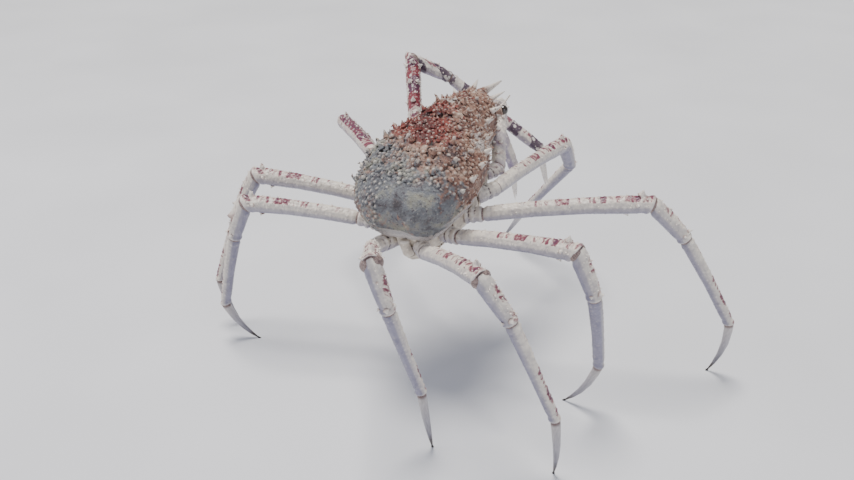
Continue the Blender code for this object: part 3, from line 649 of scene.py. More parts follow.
def back_shell(looks):
    """Calcified chitin of the back, grown rough with tubercles: rust and brick red over the middle,
    grey-green and slate towards the rear, pale where worn. It reads as dry, crusted stone."""
    material, tree, shader = new_material("calcified_back_shell")
    coord = put(tree, "TexCoord").outputs["Object"]
    broad = put(tree, "TexNoise", {"Vector": coord, "Scale": 42, "Detail": 6, "Roughness": 0.62,
                                   "Distortion": 0.5})
    base = put(tree, "ValToRGB", {"Fac": broad}, stops=[(0.30, "#543C38"), (0.46, looks.shell_tan),
                                                        (0.60, "#A38270"), (0.74, "#BFAC9C")])
    patches = put(tree, "TexNoise", {"Vector": coord, "Scale": 75, "Detail": 5, "Roughness": 0.7,
                                     "Distortion": 0.9})
    shift = put(tree, "Math", {0: patches, 1: 0.5}, operation="SUBTRACT")

    def zone(below, name, colours, reach, low=0.40, high=0.66):
        found = put(tree, "Attribute", attribute_name=name)
        broken = put(tree, "Math", {0: shift, 1: reach, 2: found.outputs["Fac"]},
                     operation="MULTIPLY_ADD")
        share = put(tree, "MapRange", {"Value": broken, "From Min": low, "From Max": high},
                    interpolation_type="SMOOTHSTEP")
        tint = put(tree, "ValToRGB", {"Fac": broad}, stops=colours)
        return put(tree, "Mix", {SHARE: share, BELOW: below, ABOVE: tint}, data_type="RGBA")

    reddened = zone(base, "red_zone", [(0.32, "#47211F"), (0.50, looks.shell_red),
                                       (0.68, "#A0574A")], 2.4)
    greyed = zone(reddened, "grey_zone", [(0.32, "#4A4648"), (0.50, looks.shell_grey),
                                          (0.68, "#94917F")], 2.2, 0.30, 0.72)
    paled = zone(greyed, "pale_zone", [(0.30, "#A39794"), (0.55, "#C9C0B8"), (0.75, "#DED7CD")],
                 1.8)
    edge = read(tree, "edge_zone", 0.25, 0.85)
    edged_share = put(tree, "Math", {0: edge, 1: 0.62}, operation="MULTIPLY")
    paled = put(tree, "Mix", {SHARE: edged_share, BELOW: paled, ABOVE: "#C9C4C2"}, data_type="RGBA")
    # Painted shade: the hollows between tubercles are darkened towards brown-black
    low = read(tree, "relief", 0.0, -0.55)
    shaded_hollows = put(tree, "Mix", {SHARE: low, BELOW: paled, ABOVE: "#3A2A30"}, data_type="RGBA",
                 blend_type="MULTIPLY")
    grime = put(tree, "TexNoise", {"Vector": coord, "Scale": 260, "Detail": 4, "Roughness": 0.7})
    specks = put(tree, "MapRange", {"Value": grime, "From Min": 0.56, "From Max": 0.66,
                                    "To Max": 0.75}, interpolation_type="SMOOTHSTEP")
    speckled = put(tree, "Mix", {SHARE: specks, BELOW: shaded_hollows, ABOVE: "#3F3038"}, data_type="RGBA")
    # Tubercles worn to pale lime
    high = read(tree, "relief", 0.22, 0.95)
    worn_share = put(tree, "Math", {0: high, 1: 0.52}, operation="MULTIPLY")
    worn = put(tree, "Mix", {SHARE: worn_share, BELOW: speckled, ABOVE: looks.tubercle},
               data_type="RGBA")
    rough = put(tree, "MapRange", {"Value": grime, "From Min": 0.3, "From Max": 0.7,
                                   "To Min": 0.42, "To Max": 0.78})
    # Grit 0.8 mm wide on crust 2 mm wide
    crust = put(tree, "TexVoronoi", {"Vector": coord, "Scale": 480})
    lumps = put(tree, "Bump", {"Height": crust, "Strength": 0.55, "Distance": 0.0008}, invert=True)
    grit = put(tree, "TexNoise", {"Vector": coord, "Scale": 1200, "Detail": 3})
    gritty = put(tree, "Bump", {"Height": grit, "Strength": 0.5, "Distance": 0.0006,
                                "Normal": lumps})
    feed(tree, shader, {"Base Color": worn, "Roughness": rough, "Normal": gritty})
    return material


def spine_horn(name, root_colour, tip_colour, dark_tip):
    """Solid chitin of a spine, denser than the shell: pale, satin, and horn brown at its point."""
    material, tree, shader = new_material(name)
    coord = put(tree, "TexCoord").outputs["Object"]
    height = put(tree, "Attribute", attribute_name="height").outputs["Fac"]
    patch = put(tree, "TexNoise", {"Vector": coord, "Scale": 160, "Detail": 4})
    wobble = put(tree, "Math", {0: patch, 1: 0.5, 2: height}, operation="MULTIPLY_ADD")
    colour = put(tree, "ValToRGB", {"Fac": wobble}, stops=[(0.18, root_colour), (0.55, tip_colour),
                                                           (1.0, tip_colour)])
    point = read(tree, "height", 0.90, 1.0)
    share = put(tree, "Math", {0: point, 1: dark_tip}, operation="MULTIPLY")
    tipped = put(tree, "Mix", {SHARE: share, BELOW: colour, ABOVE: "#6B4A3A"}, data_type="RGBA")
    grain = put(tree, "TexNoise", {"Vector": coord, "Scale": 900, "Detail": 3})
    roughen(tree, shader, grain, 0.28, 0.55, 0.35, 0.0004)
    feed(tree, shader, {"Base Color": tipped})
    return material


def toe_horn(looks):
    """Sclerotised horn of a walking toe: bluish grey chitin with faint lengthwise grain, going to
    polished dark brown horn at the point that meets the floor."""
    material, tree, shader = new_material("sclerotised_toe_horn")
    place = limb_place(tree)
    streaks = put(tree, "TexNoise", {"Vector": put(tree, "Mapping",
                                                   {"Vector": place, "Scale": (0.12, 1, 1)}),
                                     "Scale": 700, "Detail": 4, "Roughness": 0.6})
    patch = put(tree, "TexNoise", {"Vector": place, "Scale": 130, "Detail": 4})
    wobble = put(tree, "Math", {0: patch, 1: 0.5}, operation="SUBTRACT")
    along = put(tree, "Attribute", attribute_name="along").outputs["Fac"]
    moved = put(tree, "Math", {0: wobble, 1: 0.22, 2: along}, operation="MULTIPLY_ADD")
    colour = put(tree, "ValToRGB", {"Fac": moved}, stops=[(0.0, "#CFC8C4"), (0.40, "#B4B0B6"),
                                                          (0.70, looks.toe), (0.86, "#4A3E3C"),
                                                          (0.97, looks.toe_tip)])
    grained = put(tree, "Mix", {SHARE: 0.35, BELOW: colour,
                                ABOVE: put(tree, "ValToRGB", {"Fac": streaks},
                                           stops=[(0.35, "#8E8890"), (0.65, "#FFFFFF")])},
                  data_type="RGBA", blend_type="MULTIPLY")
    inner = read(tree, "inner_edge", 0.0060, 0.0012)
    final = put(tree, "Mix", {SHARE: inner, BELOW: grained, ABOVE: looks.membrane},
                data_type="RGBA")
    roughen(tree, shader, streaks, 0.24, 0.46, 0.35, 0.0004)
    feed(tree, shader, {"Base Color": final, "Coat Weight": 0.2})
    return material


def finger_enamel(looks):
    """Dense calcite of the claw fingers, smooth as enamel: chalk white, with the joint skin's tint
    at the root, painted lilac-grey shade in the hollows, and faint growth lines. It is the shiniest
    hard part after the eyes."""
    material, tree, shader = new_material("calcite_finger_enamel")
    place = limb_place(tree)
    patch = put(tree, "TexNoise", {"Vector": place, "Scale": 140, "Detail": 5})
    colour = put(tree, "ValToRGB", {"Fac": patch}, stops=[(0.30, "#CFC7C6"), (0.50, looks.finger),
                                                          (0.72, "#F8F4EC")])
    inner = read(tree, "inner_edge", 0.0045, 0.0010)
    final = put(tree, "Mix", {SHARE: inner, BELOW: colour, ABOVE: looks.membrane}, data_type="RGBA")
    # Painted shade: the hollows are darkened towards lilac grey
    low = read(tree, "relief", -0.05, -0.35)
    sunk = put(tree, "Mix", {SHARE: low, BELOW: final, ABOVE: "#8A7C84"}, data_type="RGBA",
               blend_type="MULTIPLY")
    fine = put(tree, "TexNoise", {"Vector": place, "Scale": 700, "Detail": 3})
    roughen(tree, shader, fine, 0.18, 0.36, 0.2, 0.0003)
    feed(tree, shader, {"Base Color": sunk, "Coat Weight": 0.3, "Coat Roughness": 0.15})
    return material


def membrane(looks):
    """Arthrodial membrane, the soft uncalcified skin of a joint: brownish, leathery and damp,
    creased across the limb. The eye sees a soft crescent between two pale rims."""
    material, tree, shader = new_material("arthrodial_membrane")
    coord = put(tree, "TexCoord").outputs["Object"]
    folds = put(tree, "TexNoise", {"Vector": coord, "Scale": 420, "Detail": 4, "Distortion": 1.2})
    colour = put(tree, "ValToRGB", {"Fac": folds}, stops=[(0.32, "#5A4846"),
                                                          (0.52, looks.membrane),
                                                          (0.74, "#B4A096")])
    bump = put(tree, "Bump", {"Height": folds, "Strength": 0.6, "Distance": 0.0006})
    feed(tree, shader, {"Base Color": colour, "Normal": bump, "Roughness": 0.38})
    return material


def under_shell(looks):
    """Thin calcified chitin of the underside: cream plates, duller than the limbs, with seams
    between them, and painted tan-brown shade in the seams and creases."""
    material, tree, shader = new_material("calcified_under_shell")
    coord = put(tree, "TexCoord").outputs["Object"]
    cloud = put(tree, "TexNoise", {"Vector": coord, "Scale": 70, "Detail": 5, "Roughness": 0.6})
    colour = put(tree, "ValToRGB", {"Fac": cloud}, stops=[(0.30, "#A79B90"),
                                                          (0.52, looks.underside),
                                                          (0.72, "#E6DED0")])
    # Painted shade: seams and creases are darkened towards brown
    low = read(tree, "relief", 0.02, -0.40)
    crease_shaded = put(tree, "Mix", {SHARE: low, BELOW: colour, ABOVE: "#6E5648"}, data_type="RGBA",
                 blend_type="MULTIPLY")
    high = read(tree, "relief", 0.15, 0.7)
    worn = put(tree, "Mix", {SHARE: high, BELOW: crease_shaded, ABOVE: "#EEE7DA"}, data_type="RGBA")
    grain = put(tree, "TexNoise", {"Vector": coord, "Scale": 800, "Detail": 3})
    roughen(tree, shader, grain, 0.42, 0.70, 0.45, 0.0005)
    feed(tree, shader, {"Base Color": worn})
    return material


def cornea(looks):
    """Faceted cornea of a compound eye, clear cuticle over black pigment: nearly black, wet and
    mirror bright, with facets drawn 0.5 mm wide so that they just show."""
    material, tree, shader = new_material("faceted_cornea")
    coord = put(tree, "TexCoord").outputs["Object"]
    facets = put(tree, "TexVoronoi", {"Vector": coord, "Scale": 1900})
    colour = put(tree, "ValToRGB", {"Fac": facets}, stops=[(0.1, looks.eye), (0.8, "#3A2C22")])
    bump = put(tree, "Bump", {"Height": facets, "Strength": 0.12, "Distance": 0.0002})
    feed(tree, shader, {"Base Color": colour, "Normal": bump, "Roughness": 0.10,
                        "Coat Weight": 1.0, "Coat Roughness": 0.03})
    return material


def bristle(looks):
    """Chitin bristles of the mouth legs: amber brown, each too fine to show its gloss."""
    material, tree, shader = new_material("chitin_bristle")
    coord = put(tree, "TexCoord").outputs["Object"]
    tone = put(tree, "TexNoise", {"Vector": coord, "Scale": 300, "Detail": 2})
    colour = put(tree, "ValToRGB", {"Fac": tone}, stops=[(0.35, "#5B3F28"), (0.65, looks.bristle)])
    feed(tree, shader, {"Base Color": colour, "Roughness": 0.5})
    return material


# ---- settings


class CrabLooks(bpy.types.PropertyGroup):
    bone: bpy.props.StringProperty(name="Bone", default="#EFE8DD",
                                   description="Upper side of the limbs, as an sRGB hex colour")
    blotch: bpy.props.StringProperty(name="Blotch", default="#8A4450",
                                     description="Purple-red blotches on the limbs")
    deep_blotch: bpy.props.StringProperty(name="Deep blotch", default="#5A2C46",
                                          description="Middle of the darkest blotches")
    band: bpy.props.StringProperty(name="Band", default="#3E2340",
                                   description="Dark rings on the front limbs and claws")
    claw_red: bpy.props.StringProperty(name="Claw red", default="#84323A",
                                       description="Red of the long piece of the left claw")
    membrane: bpy.props.StringProperty(name="Membrane", default="#8C7772",
                                       description="Soft skin in the joints")
    shell_red: bpy.props.StringProperty(name="Shell red", default="#74281F",
                                        description="Middle of the back")
    shell_tan: bpy.props.StringProperty(name="Shell tan", default="#8A6454",
                                        description="Head and flanks of the shell")
    shell_grey: bpy.props.StringProperty(name="Shell grey", default="#74777B",
                                         description="Rear of the shell")
    tubercle: bpy.props.StringProperty(name="Tubercle", default="#E3D9CB",
                                       description="Worn tops of the tubercles")
    toe: bpy.props.StringProperty(name="Toe", default="#8E8B94", description="Middle of the toes")
    toe_tip: bpy.props.StringProperty(name="Toe tip", default="#241B18",
                                      description="Horny points of the toes")
    finger: bpy.props.StringProperty(name="Finger", default="#ECE5DB",
                                     description="Claw fingers")
    underside: bpy.props.StringProperty(name="Underside", default="#CFC3B2",
                                        description="Plates under the body")
    eye: bpy.props.StringProperty(name="Eye", default="#0E0A09", description="Eye pigment")
    bristle: bpy.props.StringProperty(name="Bristle", default="#9A7448",
                                      description="Mouth and feeler bristles")


class CrabSizes(bpy.types.PropertyGroup):
    shell_grain: bpy.props.FloatProperty(
        name="Shell grain", default=0.0013, min=0.0008, unit="LENGTH",
        description="Width of the faces on the back shell")
    limb_grain: bpy.props.FloatProperty(
        name="Limb grain", default=0.0011, min=0.0008, unit="LENGTH",
        description="Width of the faces on the limbs")
    grain_height: bpy.props.FloatProperty(
        name="Grain height", default=0.0016, unit="LENGTH",
        description="Height of the round grains between the tubercles")
    thorn_length: bpy.props.FloatProperty(
        name="Thorn length", default=0.0034, unit="LENGTH",
        description="Length of the small thorns between the tubercles")
    neck_depth: bpy.props.FloatProperty(
        name="Neck depth", default=0.0012, unit="LENGTH",
        description="Depth of the sunk neck at each joint")
    lip_height: bpy.props.FloatProperty(
        name="Lip height", default=0.0010, unit="LENGTH",
        description="Height of the flared rim at each joint")


class CrabStage(bpy.types.PropertyGroup):
    camera_place: bpy.props.FloatVectorProperty(
        name="Camera place", default=(-0.54608, 1.11269, 0.79433), subtype="TRANSLATION",
        unit="LENGTH", description="Where the photograph was taken from")
    camera_turn: bpy.props.FloatProperty(
        name="Camera turn", default=math.radians(209), unit="ROTATION",
        description="Turn of the view round the crab, 0 from straight ahead of it")
    camera_drop: bpy.props.FloatProperty(
        name="Camera drop", default=math.radians(27), unit="ROTATION",
        description="How far the camera looks down")
    focal: bpy.props.FloatProperty(name="Focal length", default=42.15, min=10,
                                   description="Lens in millimetres on a 36 mm sensor")


def looks():
    return bpy.context.scene.crab_looks


def sizes():
    return bpy.context.scene.crab_sizes


# ---- operators


class CRAB_OT_back_shell(bpy.types.Operator):
    """Dress the back shell: grains, rear rim, furrows and colour zones"""
    bl_idname = "crab.back_shell"
    bl_label = "Back shell"

    def execute(self, context):
        shell = remeshed("carapace", "back_shell", sizes().shell_grain)
        left, forward, _ = body_places(shell)
        top = turned_up(shell)
        raise_surface(shell, self.rim_ridges(left, forward, top))
        rough = (top > -0.36) & ~near_spines(shell, 0.017)
        bare_rear = (left < 0.06) & (forward < -0.405 - 0.30 * left)
        height = sizes().grain_height
        grains(shell, 900, spacing=0.0052, radius=0.0032, height=height, seed=11,
               allowed=rough & ~bare_rear)
        grains(shell, 3200, spacing=0.0027, radius=0.0017, height=height * 0.42, seed=12,
               allowed=rough)
        finish_with(shell, "SMOOTH", factor=0.35, iterations=1)
        relief(shell)
        note_zones(shell)
        note(shell, "edge_zone", (1 - smooth_step(top, -0.52, -0.34))
             * (1 - 0.5 * smooth_step(forward, 0.10, 0.30)))
        settle(shell, "carapace", slot="back_shell", material=back_shell(looks()))
        return {"FINISHED"}

    @staticmethod
    def rim_ridges(left, forward, top):
        """The smooth double rim along the rear edge, and the furrows between the back's regions."""
        rear = 1 - smooth_step(forward, -0.12, 0.04)
        ridge = (0.0013 * hump(top, -0.42, 0.07) + 0.0012 * hump(top, -0.62, 0.06)
                 - 0.0008 * hump(top, -0.52, 0.05)) * rear
        neck = -0.0026 * hump(forward - 1.2 * left ** 2, 0.125, 0.018) * (abs(left) < 0.24)
        sides = -0.0020 * hump(abs(left) - 0.5 * (forward + 0.1) ** 2, 0.105, 0.016)
        sides *= smooth_step(forward, -0.30, -0.2) * (1 - smooth_step(forward, 0.02, 0.10))
        across = -0.0014 * hump(forward + 0.8 * left ** 2, -0.19, 0.016) * (abs(left) < 0.16)
        return ridge + (neck + sides + across) * smooth_step(top, 0.1, 0.5)


class CRAB_OT_shell_spines(bpy.types.Operator):
    """Sharpen the shell's own spines and tubercles, and set small thorns between them"""
    bl_idname = "crab.shell_spines"
    bl_label = "Shell spines"

    def execute(self, context):
        found = cad_spines("carapace")
        fewest, long_spine = 60, 0.011
        if len(found) < fewest:
            raise RuntimeError(f"only {len(found)} spines found on the carapace")
        big = [spot for spot in found if (spot[2] - spot[0]).length > long_spine]
        low = [spot for spot in found if spot not in big]
        settle(planted("shell_spines", big), slot="back_shell",
               material=spine_horn("pale_spine_chitin", "#A08478", "#DED4C7", 0.7))
        shell_finish = bpy.data.materials["calcified_back_shell"]
        shell = bpy.data.objects["back_shell"]
        left, forward, _ = body_places(shell)
        top = turned_up(shell)
        allowed = (top > 0.15) & (forward > -0.36) & (forward < 0.46)
        rearward = left > -0.02
        spots = scattered(shell, 620, spacing=0.0064, seed=21,
                          allowed=allowed & (rearward | (forward > -0.25)))
        lean = STANCE @ Vector((0, -0.12, 0))
        small = thorns(spots, sizes().thorn_length, radius=0.00145, seed=22, lean=lean)
        for name, group in (("shell_tubercles", low), ("shell_thorns", small)):
            spines = planted(name, group)
            self.match_shell(spines)
            settle(spines, slot="back_shell", material=shell_finish)
        return {"FINISHED"}

    @staticmethod
    def match_shell(spines):
        """Notes what the shell's material reads, so that spines take the colour they stand in."""
        height = noted(spines, "height")
        # The relief falls below zero near the roots, so the shell's material paints shade round them
        note(spines, "relief", height - 0.12)
        note(spines, "edge_zone", np.zeros(len(height)))
        note_zones(spines)


class CRAB_OT_walking_legs(bpy.types.Operator):
    """Dress the shell pieces of the eight walking legs"""
    bl_idname = "crab.walking_legs"
    bl_label = "Walking legs"

    def execute(self, context):
        # The last colour of each limb shell is the painted cool shade of the side facing down
        usual = limb_shell("satin_leg_chitin", looks(), 0.19, 0.0, looks().band, "#9391A8")
        front = limb_shell("spotted_front_leg_chitin", looks(), 0.38, 0.25, looks().blotch,
                           "#A09AAE")
        pale = limb_shell("pale_hip_chitin", looks(), 0.02, 0.0, looks().band, "#9F9BAC")
        toes = toe_horn(looks())
        for limb in LEGS:
            for part, node, start, end in limb_spans(limb, LEG_PARTS):
                piece = dress_limb_piece(node, start, end, part)
                material = {"dactyl": toes, "ischium": pale}.get(
                    part, front if limb == "leg_left_1" else usual)
                settle(piece, node, slot="toe_horn" if part == "dactyl" else "leg_shell",
                       material=material)
        return {"FINISHED"}


def dress_limb_piece(node, start, end, part):
    """A limb piece's skin with its neck, lip and grains, and its noted places."""
    tip = part in ("dactyl", "finger")
    piece = remeshed(node, node + "_shell", sizes().limb_grain * (0.8 if tip else 1))
    from_start, to_end, upper = straighten(piece, start, end)
    depth = sizes().neck_depth * (0.4 if part == "ischium" else 1)
    # A tip has no outer joint, so its end is taken to be a metre away
    shape_ends(piece, from_start, to_end + tip, depth, 0 if tip else sizes().lip_height)
    if part == "ischium":
        raise_surface(piece, 0.0013 * hump(to_end, 0.013, 0.0022)
                      - 0.0011 * hump(to_end, 0.0175, 0.0018)
                      + 0.0008 * hump(to_end, 0.0215, 0.002))
    seed = sum(map(ord, node))
    if not tip:
        away = (from_start > 0.006) & (to_end > 0.006)
        many = {"ischium": 60, "merus": 260, "carpus": 70}.get(part, 160)
        grains(piece, many, spacing=0.0048, radius=0.0022, height=0.00075, seed=seed,
               allowed=away & (upper > -0.2))
        grains(piece, many * 2, spacing=0.0028, radius=0.0015, height=0.0003, seed=seed + 3,
               allowed=away)
    relief(piece, 16)
    only(piece)
    bpy.ops.object.shade_smooth()
    return piece


class CRAB_OT_claws(bpy.types.Operator):
    """Dress the two claws, their white fingers and the teeth along them"""
    bl_idname = "crab.claws"
    bl_label = "Claws"

    def execute(self, context):
        # The last colour of each limb shell is the painted cool shade of the side facing down
        red = limb_shell("spotted_claw_chitin", looks(), 0.40, 0.85, looks().claw_red, "#A9979F")
        banded = limb_shell("banded_claw_chitin", looks(), 0.14, 0.92, looks().band, "#9F96AE")
        lilac = limb_shell("lilac_claw_chitin", looks(), 0.08, 0.38, "#8C7A9C", "#A29BB2")
        enamel = finger_enamel(looks())
        for limb in CLAWS:
            for part, node, start, end in limb_spans(limb, CLAW_PARTS):
                piece = dress_limb_piece(node, start, end, part)
                shell = banded if limb == "claw_left" else lilac
                if part == "finger":
                    shell = enamel
                elif part in ("ischium", "merus") and limb == "claw_left":
                    shell = red
                settle(piece, node, slot="claw_shell", material=shell)
                if part == "palm":
                    whiten_fixed_finger(piece, enamel, end)
            self.grow_teeth(limb, start)
        return {"FINISHED"}

    @staticmethod
    def grow_teeth(limb, joint):
        """Eleven rounded crushing teeth on each of the two fingers' facing sides."""
        moving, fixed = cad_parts[f"{limb}_finger"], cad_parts[f"{limb}_palm"]
        hinge, tip = joint[0], tip_of(f"{limb}_finger", joint)
        points = points_of(fixed)
        ahead = (points - np.array(hinge)) @ np.array((tip - hinge).normalized())
        beyond = ahead > 0.004
        points, ahead = points[beyond], ahead[beyond]
        fixed_root = Vector(points[np.argsort(ahead)[:8]].mean(0))
        fixed_tip = Vector(points[np.argmax(ahead)])
        spots = []
        reach = 0.02
        for node, start, end, other in ((moving, hinge, tip, (fixed_root, fixed_tip)),
                                        (fixed, fixed_root, fixed_tip, (hinge, tip))):
            tree = search_tree(node.data)
            for k in range(11):
                t = 0.16 + 0.072 * k
                inside = start.lerp(end, t)
                towards = (other[0].lerp(other[1], t) - inside).normalized()
                outside = inside + towards * reach
                place = tree.ray_cast(outside, -towards, 1.5 * reach)[0]
                place = place or tree.find_nearest(outside)[0]
                size = 0.0020 * (1.25 - 0.7 * t)
                spots.append((place - towards * size * 0.6, place + towards * size * 0.1,
                              place + towards * size * 0.75, size))
        teeth = planted(f"{limb}_teeth", spots)
        rounded(teeth)
        settle(teeth, slot="claw_shell",
               material=spine_horn("calcite_tooth", "#E4DCD0", "#F4EFE6", 0.0))


def whiten_fixed_finger(palm, enamel, end):
    """Gives the faces beyond the hinge of the moving finger the white of the fingers."""
    palm.data.materials.append(enamel)
    points = points_of(palm)
    beyond = (points - np.array(end[0])) @ np.array(end[1]) > -0.002
    for face in palm.data.polygons:
        if all(beyond[v] for v in face.vertices):
            face.material_index = 1


class CRAB_OT_limb_spines(bpy.types.Operator):
    """Sharpen the spines of the limbs and set small thorns along their upper sides"""
    bl_idname = "crab.limb_spines"
    bl_label = "Limb spines"

    def execute(self, context):
        pale = spine_horn("limb_spine_chitin", "#B9978C", "#EFE8DD", 0.5)
        for limb in LEGS + CLAWS:
            spots = []
            for part in ("merus", "carpus"):
                spots += cad_spines(f"{limb}_{part}")
                skin = bpy.data.objects[f"{limb}_{part}_shell"]
                inner, outer, upper = (noted(skin, name)
                                       for name in ("inner_edge", "outer_edge", "upper"))
                allowed = (inner > 0.008) & (outer > 0.006) & (upper > 0.15)
                near_knee = outer < 0.035 if part == "merus" else outer > 0
                seed = sum(map(ord, limb + part))
                thick = scattered(skin, 26, spacing=0.0075, seed=seed,
                                  allowed=allowed & near_knee)
                sparse = scattered(skin, 22, spacing=0.011, seed=seed + 5, allowed=allowed)
                spots += thorns(thick + sparse, length=0.0024, radius=0.0011, seed=seed,
                                lean=Vector((0, 0, 0.1)))
            spines = planted(f"{limb}_spines", spots)
            settle(spines, slot=slot_of(limb), material=pale)
        return {"FINISHED"}


class CRAB_OT_joint_skins(bpy.types.Operator):
    """Fill the joints with soft folded skin"""
    bl_idname = "crab.joint_skins"
    bl_label = "Joint skins"

    def execute(self, context):
        skin = membrane(looks())
        for limb in LEGS + CLAWS:
            parts = CLAW_PARTS if "claw" in limb else LEG_PARTS
            joints = limb_joints(limb, parts)
            folds = [joint_skin(f"{limb}_joint_skin", joint) for joint in joints]
            only(folds[0])
            for fold in folds:
                fold.select_set(True)
            bpy.ops.object.join()
            settle(folds[0], slot=slot_of(limb), material=skin)
        return {"FINISHED"}


class CRAB_OT_eyes(bpy.types.Operator):
    """Build the stalked eyes: a short stalk with a cup, and a faceted cornea"""
    bl_idname = "crab.eyes"
    bl_label = "Eyes"

    def execute(self, context):
        glass = cornea(looks())
        stalk_shell = spine_horn("eye_stalk_chitin", "#7E5A52", "#B59A8C", 0.0)
        for side in ("left", "right"):
            node = f"eye_{side}"
            points = points_of(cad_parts[node])
            middle = points.mean(0)
            axis = Vector(np.linalg.svd(points - middle)[2][0])
            outwards = STANCE @ Vector((1 if side == "left" else -1, 0, 0))
            axis = axis if axis.dot(outwards) > 0 else -axis
            tip = Vector(points[np.argmax(points @ np.array(axis))])
            seat = Vector(middle) + axis * (tip - Vector(middle)).dot(axis)
            centre = seat - axis * EYE_RADIUS * 1.02
            stalk = remeshed(node, f"{node}_stalk", 0.0006)
            reach = (points_of(stalk) - np.array(centre)) @ np.array(axis)
            raise_surface(stalk, -0.0011 * smooth_step(reach, -0.001, 0.002)
                          + 0.0007 * hump(reach, -0.0022, 0.0011))
            note(stalk, "height", smooth_step(reach, -0.02, 0.0))
            settle(stalk, node, slot="under_shell", material=stalk_shell)
            eye = ball(f"{node}_cornea", centre, axis, EYE_RADIUS * 1.03, 0.94, 40, 28)
            settle(eye, slot="cornea", material=glass)
        return {"FINISHED"}


def feeler(name, path, radii):
    """A tapering tube along a path of points, made from a bevelled curve."""
    data = bpy.data.curves.new(name, "CURVE")
    data.dimensions = "3D"
    data.bevel_depth = 1.0
    data.bevel_resolution = 2
    data.use_fill_caps = True
    line = data.splines.new("POLY")
    line.points.add(len(path) - 1)
    for point, place, radius in zip(line.points, path, radii):
        point.co = (*place, 1)
        point.radius = radius
    only(new_object(name, data))
    bpy.ops.object.convert(target="MESH")
    piece = bpy.context.object
    piece.name = name
    bpy.ops.object.shade_smooth()
    return piece


class CRAB_OT_feelers(bpy.types.Operator):
    """Build the antennae and the small folded feelers between them"""
    bl_idname = "crab.feelers"
    bl_label = "Feelers"

    def execute(self, context):
        chitin = spine_horn("feeler_chitin", "#C59C8A", "#E9DDD0", 0.2)
        for side in ("left", "right"):
            node = f"antenna_{side}"
            skin = remeshed(node, f"{node}_shell", 0.00042)
            points = points_of(skin)
            root = np.array(SHELL_MIDDLE)
            first = points[np.argmin(((points - root) ** 2).sum(1))]
            reach = np.sqrt(((points - first) ** 2).sum(1))
            length = reach.max()
            t = reach / length
            base = 1 - smooth_step(t, 0.22, 0.34)
            rings = 0.00012 * np.sin(reach / 0.00038) * (1 - base)
            joints = -0.0010 * sum(hump(t, at, 0.012) for at in (0.10, 0.20, 0.31))
            raise_surface(skin, rings + joints * (base > 0.02))
            note(skin, "height", t * 0.85)
            settle(skin, node, slot="leg_shell", material=chitin)
            self.small_feeler(side, chitin)
        return {"FINISHED"}

    @staticmethod
    def small_feeler(side, chitin):
        sign = 1 if side == "left" else -1

        def at(left, forward, up):
            along = Vector((left, -forward, up)) * SHELL_LENGTH
            return SHELL_MIDDLE + STANCE @ along

        root, knee = at(sign * 0.022, 0.455, -0.055), at(sign * 0.026, 0.520, -0.085)
        elbow, tip = at(sign * 0.020, 0.545, -0.045), at(sign * 0.028, 0.570, -0.012)
        path = [root, root.lerp(knee, 0.5), knee, knee.lerp(elbow, 0.5), elbow,
                elbow.lerp(tip, 0.35), elbow.lerp(tip, 0.7), tip]
        radii = [0.0022, 0.0020, 0.0021, 0.0016, 0.0017, 0.0010, 0.0007, 0.0003]
        made = feeler(f"antennule_{side}", path, radii)
        rounded(made)
        note(made, "height", np.full(len(made.data.vertices), 0.5))
        settle(made, slot="leg_shell", material=chitin)


class CRAB_OT_mouth(bpy.types.Operator):
    """Dress the outer mouth legs and give them palps and bristles"""
    bl_idname = "crab.mouth"
    bl_label = "Mouth"

    def execute(self, context):
        plate = under_shell(looks())
        hair = bristle(looks())
        for side in ("left", "right"):
            node = f"mouthpart_{side}"
            skin = remeshed(node, f"{node}_plate", 0.0009)
            left, forward, up = body_places(skin)
            low, high = forward.min(), forward.max()
            t = (forward - low) / (high - low)
            inside = abs(left)
            seams = -0.0013 * (hump(t, 0.55, 0.02) + hump(t, 0.16, 0.02))
            seams -= 0.0007 * hump(inside - inside.mean(), 0.004, 0.004) * (t < 0.5)
            raise_surface(skin, seams)
            grains(skin, 90, spacing=0.0040, radius=0.0016, height=0.0005, seed=51,
                   allowed=up < up.mean())
            relief(skin, 16)
            settle(skin, node, slot="under_shell", material=plate)
            self.palp(side, skin, plate)
            self.fringe(side, skin, hair)
        return {"FINISHED"}

    @staticmethod
    def palp(side, skin, plate):
        """The three-jointed palp that hangs from the plate's front corner."""
        sign = 1 if side == "left" else -1
        points = points_of(skin)
        left, forward, up = body_places(skin)
        corner = Vector(points[np.argmax(forward - up * 0.8 + abs(left) * 0.5)])
        ahead, down = STANCE @ Vector((0, -1, 0)), STANCE @ Vector((0, 0, -1))
        inwards = STANCE @ Vector((-sign, 0, 0))
        path = [corner - ahead * 0.004, corner + ahead * 0.005 + down * 0.001,
                corner + ahead * 0.008 + down * 0.006 + inwards * 0.003,
                corner + ahead * 0.004 + down * 0.012 + inwards * 0.006,
                corner - ahead * 0.004 + down * 0.013 + inwards * 0.008,
                corner - ahead * 0.010 + down * 0.011 + inwards * 0.009]
        made = feeler(f"mouth_palp_{side}", path, [0.0030, 0.0034, 0.0026, 0.0028, 0.0021, 0.0008])
        rounded(made)
        note(made, "relief", np.zeros(len(made.data.vertices)))
        settle(made, slot="under_shell", material=plate)

    @staticmethod
    def fringe(side, skin, hair):
        """Stiff bristles along the plates' inner and front edges."""
        left, forward, up = body_places(skin)
        inner = abs(left) < abs(left).min() + 0.022
        front = forward > forward.max() - 0.035
        spots = scattered(skin, 170, spacing=0.0017, seed=61,
                          allowed=(inner | front) & (up < up.mean() + 0.01))
        ahead = STANCE @ Vector((0, -0.9, -0.5))
        tufts = thorns(spots, length=0.0062, radius=0.00032, seed=62, lean=ahead)
        settle(planted(f"mouth_bristles_{side}", tufts), slot="under_shell", material=hair)


